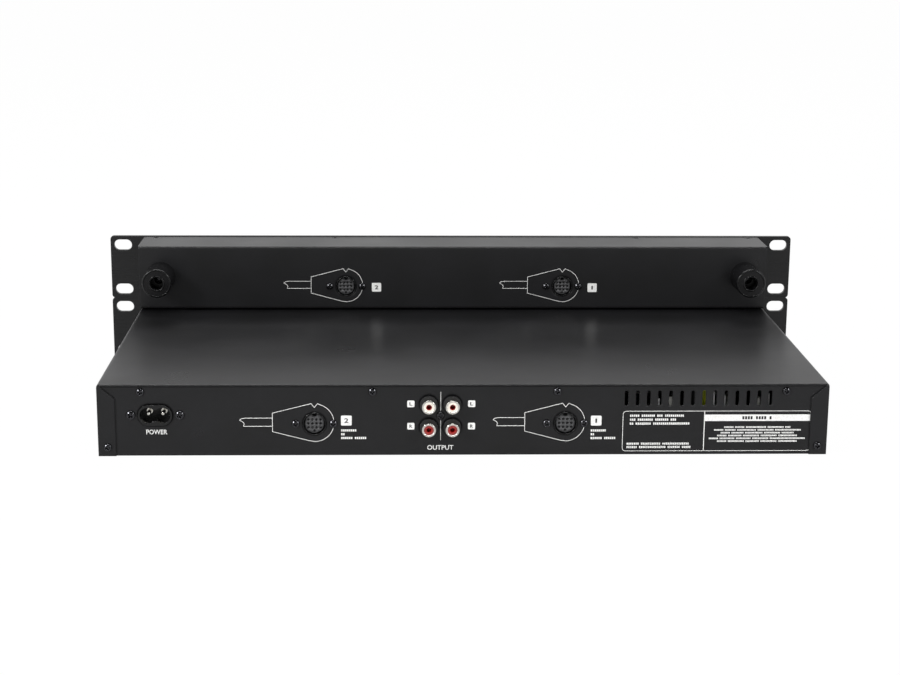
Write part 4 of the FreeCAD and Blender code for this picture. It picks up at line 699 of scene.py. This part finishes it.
# ---- power supply and boards, seen through the vents ----
FIN_W = 4.0                                                 # wider solids are cans
HEATSINKS = solid_boxes("power_heatsinks")
CANS = [((low + high) / 2, (high - low).x / 2) for low, high in HEATSINKS if (high - low).x > FIN_W]
FINS = sorted((low + high).x / 2 for low, high in HEATSINKS if (high - low).x < FIN_W)
BOARD_UNDERSIDE, BOARD_MIN_W, BOARD_MARGIN = 7.9, 40, 9
PARTS_PER_BOARD = 9
BOARD_PLANE, BRACKET_Z = PANEL_BACK / MM + 13.95, 81.75     # of the control unit's board


def can_or_fin(c, normal):
    """Sleeved can walls, and bare metal on the cans' tops and on the fins."""
    in_can = any(math.hypot(c.x - m.x, c.y - m.y) < r + 0.1 for m, r in CANS)
    return int(in_can and normal.z < 0.9)


def winding_band(canvas):
    """Two laps of tape round the winding, the outer one narrower."""
    low, high = (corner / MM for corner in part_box("power_transformer"))
    x = (low.x + high.x) / 2
    for half, over in ((2.9, 0.12), (1.9, 0.3)):
        bar(canvas, x - half, x + half, low.y - over, high.y + over, low.z + 2.5, high.z + over)


def film_capacitor(canvas):
    """A tall box capacitor with rounded upright edges, z 0 at the board."""
    plate(canvas, rounded(0, 0, 4.6, 5.0, 0.7), 0.0, 23.4)


def chip(canvas):
    """A flat package and two rows of short legs."""
    plate(canvas, rounded(0, 0, 6, 9, 0.4), 0.35, 2.1)
    for side in (-1, 1):
        for i in range(6):
            y = -3.75 + 1.5 * i
            bar(canvas, *sorted((side * 2.9, side * 4.1)), y - 0.25, y + 0.25, 0.02, 0.5)


refinished("power_heatsinks", "player", "heatsink", (ALUMINIUM, SLEEVE), can_or_fin)
refinished("player_boards", "player", "circuit_board", (BOARD, TIN), lambda c, _: int(c.z < BOARD_UNDERSIDE))
refinished("control_board", "control_unit", "circuit_board", (BOARD, EPOXY, TIN), lambda c, _: (
    0 if c.y > BOARD_PLANE else 2 if c.z > BRACKET_Z else 1))
piece(drawn("winding_band", Matrix(), winding_band), "player", "winding_tape", TAPE)

boards = [b for b in solid_boxes("player_boards") if (b[1] - b[0]).x > BOARD_MIN_W]
standing, lying = [], []
for low, high in sorted(boards, key=lambda b: (b[0] - b[1]).xy.length):
    run = high.x - low.x - 2 * BOARD_MARGIN
    for i in range(PARTS_PER_BOARD):
        x = low.x + BOARD_MARGIN + run * (i + draw_lots.uniform(0.2, 0.8)) / PARTS_PER_BOARD
        y = low.y + draw_lots.uniform(6, 20)
        seat = ((x, y, high.z), (0, 0, 1), draw_lots.choice((0, math.pi / 2)), draw_lots.uniform(0.8, 1.2))
        (standing if i % 3 != 1 else lying).append(seat)
# behind some of the vents: which vent, how far in from the rear, and how large
board_top = max(high.z for low, high in boards)
upright = [((FINS[0] + vent * (FINS[2] - FINS[1]), REAR_FACE / MM - depth, board_top), (0, 0, 1), 0.0, scale)
           for vent, depth, scale in ((1, 10.2, 1.0), (3, 25.0, 0.95), (9, 9.4, 1.03))]
small_can = turned("small_can", (
    (0, 0), (2.4, 0), (2.5, 0.3), (2.5, 1.2), (2.25, 1.5), (2.5, 1.8), (2.5, 8.6), (2.2, 9), (0, 9)), 14)
for name, shape, seats, finish in (
        ("board_capacitors", small_can, standing, SLEEVE),
        ("board_packages", pattern("package", chip), lying, EPOXY),
        ("film_capacitors", pattern("box_cap", film_capacitor), upright, RESIN)):
    stamped(name, shape, seats, "player", "circuit_board", finish)


# ---- printing on the rear faces ----
LINE_W, FRAME_LINE_W = 0.31, 0.3
CABLE_END = [(3.2, 3.56), (1.0, 3.2), (0, 2.3), (1.2, 1.6), (2.2, 0.9), (2.6, 0.0), (2.3, -0.9), (2.2, -1.48)]
PLUG = [(-1.9, 12.4), (0, 10.0), (1.9, 12.4), *arc(0, 0.6, 11.6, 74, -88, 22), (-3.0, -10.5)]


def plug_drawing(canvas, x, z, body, cable):
    """The outline of a plug with its cable round a socket; both reach that far to the left of the socket."""
    end = [(x - cable + dx, z + dz) for dx, dz in CABLE_END]
    ribbon(canvas, [(x - body, z + 3.56), *end, (x - body, z - 1.48)], LINE_W)
    outline = [(x - body, z + 6.6), *[(x + dx, z + dz) for dx, dz in PLUG], (x - body, z - 4.8)]
    ribbon(canvas, outline, LINE_W, closed=True)


def tag(canvas, x, z, size):
    """A white rounded square that carries a digit or a letter."""
    plate(canvas, rounded(x, z, size, size * 0.96, 0.7))


# places on the rear faces: x to the right from the middle as seen from behind, z up from the floor
PLUG_REACHES = {"player": ((24.9, 44.2), (24.3, 43.1)), "control": ((24.0, 42.7), (24.1, 43.5))}
SOCKET_TAGS = {"player": ((-70.4, 21.4, "2"), (78.4, 21.0, "1")),
               "control": ((-53.7, 60.0, "2"), (95.9, 59.7, "1"))}
JACK_TAGS = ((-32.1, 31.6, "L"), (-32.1, 17.8, "R"), (4.0, 31.6, "L"), (4.0, 17.8, "R"))
JACK_LINE_X = -14.4
FRAME_LEFT, FRAME_RIGHT, FRAME_LOW, FRAME_HIGH = 94.4, 207.4, 2.1, 26.8
FRAME_DIVIDER = 143.25


def socket_tags(canvas, unit):
    """Plug drawings, number tags and, on the player, three short rows of blocks under each tag."""
    for link, reach in zip(sorted(LINKS[unit], key=lambda centre: -centre.x), PLUG_REACHES[unit]):
        plug_drawing(canvas, -link.x, link.z, *reach)
    for x, z, _ in SOCKET_TAGS[unit]:
        tag(canvas, x, z, 6.4)
        if unit == "player":
            print_rows(canvas, x - 3.1, z - 6.1, 2.35, 1.35, ((9.8, ()), (2.8, ()), (15.2, (6,))))


def print_frame(canvas):
    """A frame in two halves, with rows of blocks in both and a white band over the right one."""
    wide, tall = FRAME_RIGHT - FRAME_LEFT, FRAME_HIGH - FRAME_LOW
    x, z = FRAME_LEFT + wide / 2, FRAME_LOW + tall / 2
    ribbon(canvas, rounded(x, z, wide, tall, 2.0), FRAME_LINE_W, closed=True)
    block(canvas, FRAME_DIVIDER, z, 0.5, tall - 0.6)
    bar(canvas, FRAME_DIVIDER + 0.3, FRAME_RIGHT - 0.35, 20.6, 24.6)
    print_rows(canvas, 98.6, 24.0, 2.45, 1.35, ((33, (5, 13, 17)), (28, (3, 12, 20)), (36, (2, 11))))
    print_rows(canvas, 97.0, 6.6, 2.1, 1.25, ((38, (7, 19)), (39, (6, 22, 30))))
    for row, half in enumerate((20, 26, 22, 24, 29, 24)):
        left = (FRAME_DIVIDER + FRAME_RIGHT) / 2 - half
        dashes(canvas, left, 2 * half, 16.8 - 1.75 * row, 0.95, (7, 15 + row, 31, 44))


def player_rear_print(canvas):
    """All white printing of the player's rear."""
    socket_tags(canvas, "player")
    writing(canvas, "POWER", 2.9, -182.6, 14.6, 12.4, weight=0.012)
    writing(canvas, "OUTPUT", 2.9, -14.5, 4.6, 15.6, weight=0.012)
    for top, bottom in ((39.0, 27.4), (21.4, 9.1)):
        ribbon(canvas, [(JACK_LINE_X, top), (JACK_LINE_X, bottom)], LINE_W)
    for x, z, _ in JACK_TAGS:
        tag(canvas, x, z, 4.3)
    print_frame(canvas)


DIGIT_WEIGHT = 0.02


def digits(tags, size):
    """Dark letters or digits on their tags."""
    def draw(canvas):
        for x, z, word in tags:
            tall, wide = (0.9, 0.34) if word == "1" else (1.0, 0.86)
            writing(canvas, word, size * tall, x, z, size * wide, base=INK_T, weight=DIGIT_WEIGHT)
    return draw


def white_print(name, place, draw, body):
    """A piece of white print."""
    piece(drawn(name, place, draw), body, "insert_white", WHITE_INK)


def dark_print(name, place, draw, body):
    """A piece of dark print, on white print."""
    piece(drawn(name, place, draw), body, "case_paint", BLACK_INK)


REAR, CONTROL_BACK = on_rear(REAR_FACE), on_rear(CONTROL_REAR)
white_print("player_rear_print", REAR, player_rear_print, "player")
dark_print("player_rear_digits", REAR, digits(SOCKET_TAGS["player"], 2.8), "player")
dark_print("band_print", REAR, lambda canvas: dashes(canvas, 166, 18, 22.6, 1.9, (4, 9), INK_T), "player")
dark_print("jack_letters", REAR, digits(JACK_TAGS, 2.0), "player")
white_print("control_rear_print", CONTROL_BACK, lambda canvas: socket_tags(canvas, "control"), "control_unit")
dark_print("control_rear_digits", CONTROL_BACK, digits(SOCKET_TAGS["control"], 2.8), "control_unit")


# ---- front: symbols on the keys ----
def triangle(canvas, x, z, width, height, way=1):
    """A triangle pointing right or, with way -1, left."""
    tail, tip = x - way * width / 2, x + way * width / 2
    plate(canvas, [(tail, z - height / 2), (tip, z), (tail, z + height / 2)][::way])


def plus_and_minus(canvas, plus, minus, z, length, width, reach):
    """A plus and a minus side by side, their strokes that long and wide; the plus reaches that far up."""
    for x in (plus, minus):
        block(canvas, x, z, length, width)
    for side in (-1, 1):
        low, high = sorted((side * (width / 2 + 0.01), side * reach))
        bar(canvas, plus - width / 2, plus + width / 2, z + low, z + high)


def play_mark(canvas, x, z):
    """Start and pause: a triangle and two bars."""
    triangle(canvas, x - 2.2, z, 3.4, 4.0)
    for dx in (1.6, 3.4):
        block(canvas, x + dx, z, 0.9, 4.0)


def cue_mark(canvas, x, z):
    """A ring round a dot."""
    ribbon(canvas, arc(x, z, 2.2, 0, 345, 23), 0.5, closed=True)
    plate(canvas, arc(x, z, 0.9, 0, 330, 11))


def skip_mark(way):
    """Two triangles against a bar, forwards or back."""
    def draw(canvas, x, z):
        for dx in (-1.5, 0.9):
            triangle(canvas, x + way * dx, z, 2.2, 2.8, way)
        bar(canvas, *sorted((x + way * 2.3, x + way * 2.8)), z - 1.4, z + 1.4)
    return draw


def pitch_mark(canvas, x, z):
    """Plus and minus."""
    plus_and_minus(canvas, x - 1.8, x + 1.8, z, 2.2, 0.5, 1.1)


def eject_mark(canvas, x, z):
    """A triangle pointing up over a bar."""
    plate(canvas, [(x - 1.9, z - 0.3), (x + 1.9, z - 0.3), (x, z + 1.7)])
    block(canvas, x, z - 1.1, 3.8, 0.6)


def power_mark(canvas, x, z):
    """An open ring with a stroke through its gap."""
    ribbon(canvas, arc(x, z - 0.2, 2.4, 125, 415, 20), 0.5)
    block(canvas, x, z + 1.45, 0.5, 2.3)


def on_cap(key, name, draw):
    """A symbol printed on the middle of a key's cap; the key's node and body have one name."""
    centre = middle(key)
    white_print(name, on_front(front_of(key)), lambda canvas: draw(canvas, centre.x, centre.z), key)


on_cap("power_button", "power_mark", power_mark)
for deck in DECKS:
    for key, mark in (
            ("cue", cue_mark), ("play", play_mark), ("skip_back", skip_mark(-1)), ("skip_next", skip_mark(1)),
            ("pitch", pitch_mark), ("open", eject_mark)):
        on_cap(f"{key}_button_{deck}", f"{key}_button_mark_{deck}", mark)


# ---- front: jog wheels and faders ----
JOG_FACE_R, JOG_DISH = 13.5, 1.0
DIMPLE_R, DIMPLE_UP = 5.5, 9.0
GROOVE_PITCH = 0.9
FADER_DISH = 1.5


def turned_face(canvas):
    """A thin turned disc: fine steps for its turning marks, z 0 at its back."""
    profile = [(0, 0), (JOG_FACE_R, 0), (JOG_FACE_R, 0.3)]
    radius = JOG_FACE_R - 0.5
    while radius > GROOVE_PITCH:
        profile += [(radius, 0.36), (radius - GROOVE_PITCH * 0.4, 0.36), (radius - GROOVE_PITCH * 0.5, 0.28)]
        radius -= GROOVE_PITCH
    lathe(canvas, [*profile, (0, 0.3)], 56)


face_disc = cut_out(pattern("face_disc", turned_face), lambda canvas: lathe(
    canvas, ((0, -1), (DIMPLE_R, -1), (DIMPLE_R, 2), (0, 2)), 32, 0, DIMPLE_UP))
for deck in DECKS:
    wheel_name, fader_name = f"jog_wheel_{deck}", f"pitch_fader_{deck}"
    wheel, fader = middle(wheel_name), middle(fader_name)
    face = face_disc.data.copy()
    face.name = f"jog_face_{deck}"
    face.transform(on_front(front_of(wheel_name) + JOG_DISH * MM, wheel.x * MM, wheel.z * MM))
    piece(smooth(face), wheel_name, "jog_plastic", ANODISED)
    ticks = grown(f"jog_ticks_{deck}", bpy.data.meshes.new("seat"), MARKS, {
        "Count": 31, "Radius": 20.3 * MM, "Size": (1.7 * MM, 0.35 * MM, 2 * INK_T * MM),
        "Finish": WHITE_INK.made})
    ticks.transform(on_front(PANEL_FRONT, wheel.x * MM, wheel.z * MM))
    piece(ticks, "control_unit", "insert_white", WHITE_INK)
    white_print(f"fader_line_{deck}", on_front(front_of(fader_name) + FADER_DISH * MM),
                lambda canvas: block(canvas, fader.x, fader.z, 0.66, 13.8), fader_name)


# ---- front: printing on the two panels, and the displays ----
WINDOW_W, WINDOW_H = 62.0, 25.0


def fader_scale(canvas, x, z):
    """Ticks above and below a fader's slot, with plus and minus at the ends."""
    for i in range(-5, 6):
        reach = 2.2 if i % 5 == 0 else 1.3
        for side in (-1, 1):
            block(canvas, x + 2.6 * i, z + side * (8.2 + reach / 2), 0.32, reach)
    plus_and_minus(canvas, x + 17.5, x - 17.5, z, 2.0, 0.4, 1.0)


def control_front_print(canvas):
    """Scales, thin frames round the windows and deck number tags."""
    for deck, (x, z) in WINDOWS.items():
        fader = middle(f"pitch_fader_{deck}")
        fader_scale(canvas, fader.x, fader.z)
        ribbon(canvas, rounded(x, z, WINDOW_W + 2.4, WINDOW_H + 2.4, 2.2), 0.35, closed=True)
    for x, z, _ in CONTROL_TAGS:
        tag(canvas, x, z, 5.2)


def player_front_print(canvas):
    """Deck number tags above the trays, a fine line over each, and the words at the power key."""
    for x, z, _ in TRAY_TAGS:
        tag(canvas, x, z, 5.2)
        ribbon(canvas, [(x + 5, z), (x + 137, z)], 0.3)
    power = middle("power_button")
    writing(canvas, "ON/OFF", 1.9, power.x, power.z - 8.6)


FRONT = on_front(PANEL_FRONT)
windows = sorted(solid_centres("display_windows"), key=lambda centre: centre.x)
WINDOWS = {deck: (centre.x, centre.z) for deck, centre in zip(DECKS, windows)}
CONTROL_TAGS = [(x - WINDOW_W / 2 - 6.0, z + 9.4, str(deck)) for deck, (x, z) in WINDOWS.items()]
TRAY_TAGS = [(middle(f"tray_front_{deck}").x - 67.5, 35.2, str(deck)) for deck in DECKS]
white_print("control_front_print", FRONT, control_front_print, "control_unit")
dark_print("control_deck_digits", FRONT, digits(CONTROL_TAGS, 2.9), "control_unit")
white_print("player_front_print", FRONT, player_front_print, "player")
dark_print("player_deck_digits", FRONT, digits(TRAY_TAGS, 2.9), "player")


def segment(canvas, x, z, length, upright):
    """One bar of a seven-bar digit, pointed at both ends."""
    half, thick = length / 2, 0.42
    outline = [(-half, 0), (-half + thick, thick), (half - thick, thick), (half, 0), (half - thick, -thick),
               (-half + thick, -thick)]
    plate(canvas, [(x + v, z - u) if upright else (x + u, z + v) for u, v in outline])


def display_segments(canvas, x, z):
    """Unlit digits in pairs, and a row of short bars below, as a display shows when it is off."""
    for place in (-18.5, -12.3, -3.0, 3.2, 12.5, 18.7):
        for dz in (-4, 0, 4):
            segment(canvas, x + place, z + 3.4 + dz, 3.5, False)
        for dx in (-1.95, 1.95):
            for dz in (-2, 2):
                segment(canvas, x + place + dx, z + 3.4 + dz, 3.6, True)
    for dx in (-7.6, 7.9):
        for dz in (1.6, 5.2):
            block(canvas, x + dx, z + dz, 0.8, 0.8)
    for i in range(24):
        block(canvas, x - 25.25 + 2.2 * i, z - 7.2, 1.5, 2.4)


MODULE_FACE = on_front(PANEL_BACK + 0.6 * MM)
for deck, window in WINDOWS.items():
    display = drawn(f"display_segments_{deck}", MODULE_FACE, lambda canvas: display_segments(canvas, *window))
    piece(display, "control_unit", "circuit_board", DIM_INK)


# ---- inside the decks ----
SEAT_Z, LENS_Z, MOTOR_CAN_TOP = 24.0, 21.35, 12.5
MAT = ((9.4, 0), (14.4, 0), (14.4, 0.22), (14.2, 0.3), (9.6, 0.3), (9.4, 0.22), (9.4, 0))
for deck in DECKS:
    disc_seat = middle(f"turntable_{deck}")
    mat = drawn(f"turntable_mat_{deck}", Matrix.Translation((0, 0, SEAT_Z * MM)), lambda canvas: lathe(
        canvas, MAT, 48, disc_seat.x, disc_seat.y))
    piece(mat, f"turntable_{deck}", "foot_rubber", RUBBER)
    refinished(f"pickup_{deck}", f"pickup_{deck}", "pickup_plastic", (FRAME_ABS, LENS), lambda c, _: int(
        c.z > LENS_Z))
refinished("load_motors", "player", "zinc_steel", (ZINC, NYLON), lambda c, _: int(c.z > MOTOR_CAN_TOP))
for shape in PATTERNS:
    bpy.data.objects.remove(shape)


# ---- stage ----
def set_camera():
    """The main view's camera, from its yaw, pitch and roll."""
    cos_y, sin_y = math.cos(CAMERA_YAW), math.sin(CAMERA_YAW)
    cos_p, sin_p = math.cos(CAMERA_PITCH), math.sin(CAMERA_PITCH)
    forward = Vector((-sin_y * cos_p, -cos_y * cos_p, -sin_p))
    level = Vector((-cos_y, sin_y, 0))
    upright = level.cross(forward)
    right = level * math.cos(CAMERA_ROLL) + upright * math.sin(CAMERA_ROLL)
    up = upright * math.cos(CAMERA_ROLL) - level * math.sin(CAMERA_ROLL)
    camera = in_scene("camera", bpy.data.cameras.new("camera"))
    camera.data.lens = CAMERA_LENS
    camera.matrix_world = Matrix((right, up, -forward)).transposed().to_4x4()
    camera.location = CAMERA_AT
    bpy.context.scene.camera = camera


def lamp(name, place, width, height, power):
    """A rectangular softbox at a place, turned to the object's middle."""
    data = bpy.data.lights.new(name, "AREA")
    data.shape, data.size, data.size_y, data.energy = "RECTANGLE", width, height, power
    made = in_scene(name, data)
    made.location = place
    made.rotation_mode = "QUATERNION"
    made.rotation_quaternion = (MIDDLE - Vector(place)).to_track_quat("-Z", "Y")


def sees_backdrop(tree):
    """Camera rays, and the glossy and transmission rays, as two switches."""
    path = add(tree, "ShaderNodeLightPath").outputs
    return path["Is Camera Ray"], out(tree, "ShaderNodeMath", {
        0: path["Is Glossy Ray"], 1: path["Is Transmission Ray"]}, operation="MAXIMUM")


def set_world():
    """Soft grey room light. The camera finds white; mirrored rays find pale walls and a dim ceiling."""
    world = bpy.data.worlds.new("studio")
    bpy.context.scene.world = world
    world.use_nodes = True
    tree = world.node_tree
    tree.nodes.clear()
    seen, bounced = sees_backdrop(tree)
    way = add(tree, "ShaderNodeTexCoord").outputs["Generated"]
    height = add(tree, "ShaderNodeSeparateXYZ", {0: way}).outputs["Z"]
    ceiling = out(tree, "ShaderNodeMapRange", {
        "Value": height, "From Min": WALL_TO, "From Max": CEILING_FROM,
        "To Min": WALL_LIGHT, "To Max": CEILING_LIGHT}, interpolation_type="SMOOTHSTEP")
    room, walls, white = (
        out(tree, "ShaderNodeBackground", {"Color": srgb("#ffffff"), "Strength": strength})
        for strength in (ROOM_LIGHT, ceiling, 1.0))
    mirrored = out(tree, "ShaderNodeMixShader", {0: bounced, 1: room, 2: walls})
    mix = out(tree, "ShaderNodeMixShader", {0: seen, 1: mirrored, 2: white})
    add(tree, "ShaderNodeOutputWorld", {"Surface": mix})


def set_floor():
    """A white paper floor: nearly all its own white where it is seen, the rest lit, which keeps the shadow.
    Mirrored rays find it darker, and it is clear from below."""
    paper = Finish("white_paper", "#f2f2f2", 0.9)
    paper.mottle(paper.grain(90), "#f1f1f1", "#f4f4f4", 0.85, 0.95, paper.grain(40))
    tree = paper.tree
    seen, bounced = sees_backdrop(tree)
    white, dimmer = (
        out(tree, "ShaderNodeEmission", {"Color": srgb("#ffffff"), "Strength": strength})
        for strength in (1.0, FLOOR_MIRRORED))
    share = out(tree, "ShaderNodeMath", {0: seen, 1: FLOOR_GLOW}, operation="MULTIPLY")
    lit = out(tree, "ShaderNodeMixShader", {0: share, 1: paper.shader.outputs[0], 2: white})
    mix = out(tree, "ShaderNodeMixShader", {0: bounced, 1: lit, 2: dimmer})
    below = add(tree, "ShaderNodeNewGeometry").outputs["Backfacing"]
    clear = out(tree, "ShaderNodeBsdfTransparent")
    sided = out(tree, "ShaderNodeMixShader", {0: below, 1: mix, 2: clear})
    output = next(n for n in tree.nodes if n.type == "OUTPUT_MATERIAL")
    tree.links.new(sided, output.inputs["Surface"])
    mesh = bpy.data.meshes.new("floor")
    corners = ((-1, -1), (1, -1), (1, 1), (-1, 1))
    mesh.from_pydata([(x * FLOOR_HALF, y * FLOOR_HALF, FLOOR_Z) for x, y in corners], [], [(0, 1, 2, 3)])
    mesh.materials.append(paper.made)
    floor = in_scene("floor", mesh)


ROOM_LIGHT, WALL_LIGHT, CEILING_LIGHT = 0.45, 0.8, 0.08
WALL_TO, CEILING_FROM = 0.1, 0.75       # the height of a mirrored ray's way: 0 level, 1 straight up
FLOOR_GLOW, FLOOR_MIRRORED = 0.985, 0.6
FLOOR_HALF, FLOOR_Z = 6.0, -0.2 * MM    # just below the feet, so that the two never share a plane
set_camera()
set_world()
set_floor()
bpy.context.scene.view_settings.view_transform = "Standard"
MIDDLE = Vector((0, 0, 0.04))
lamp("left_softbox", (1.3, 1.2, 0.9), 0.45, 0.45, 17)
lamp("right_softbox", (-1.3, 1.2, 0.9), 0.45, 0.45, 8)
lamp("top_softbox", (0.1, 0.35, 1.6), 1.4, 0.2, 14)
lamp("front_softbox", (0, -1.2, 1.6), 1.6, 0.7, 17)
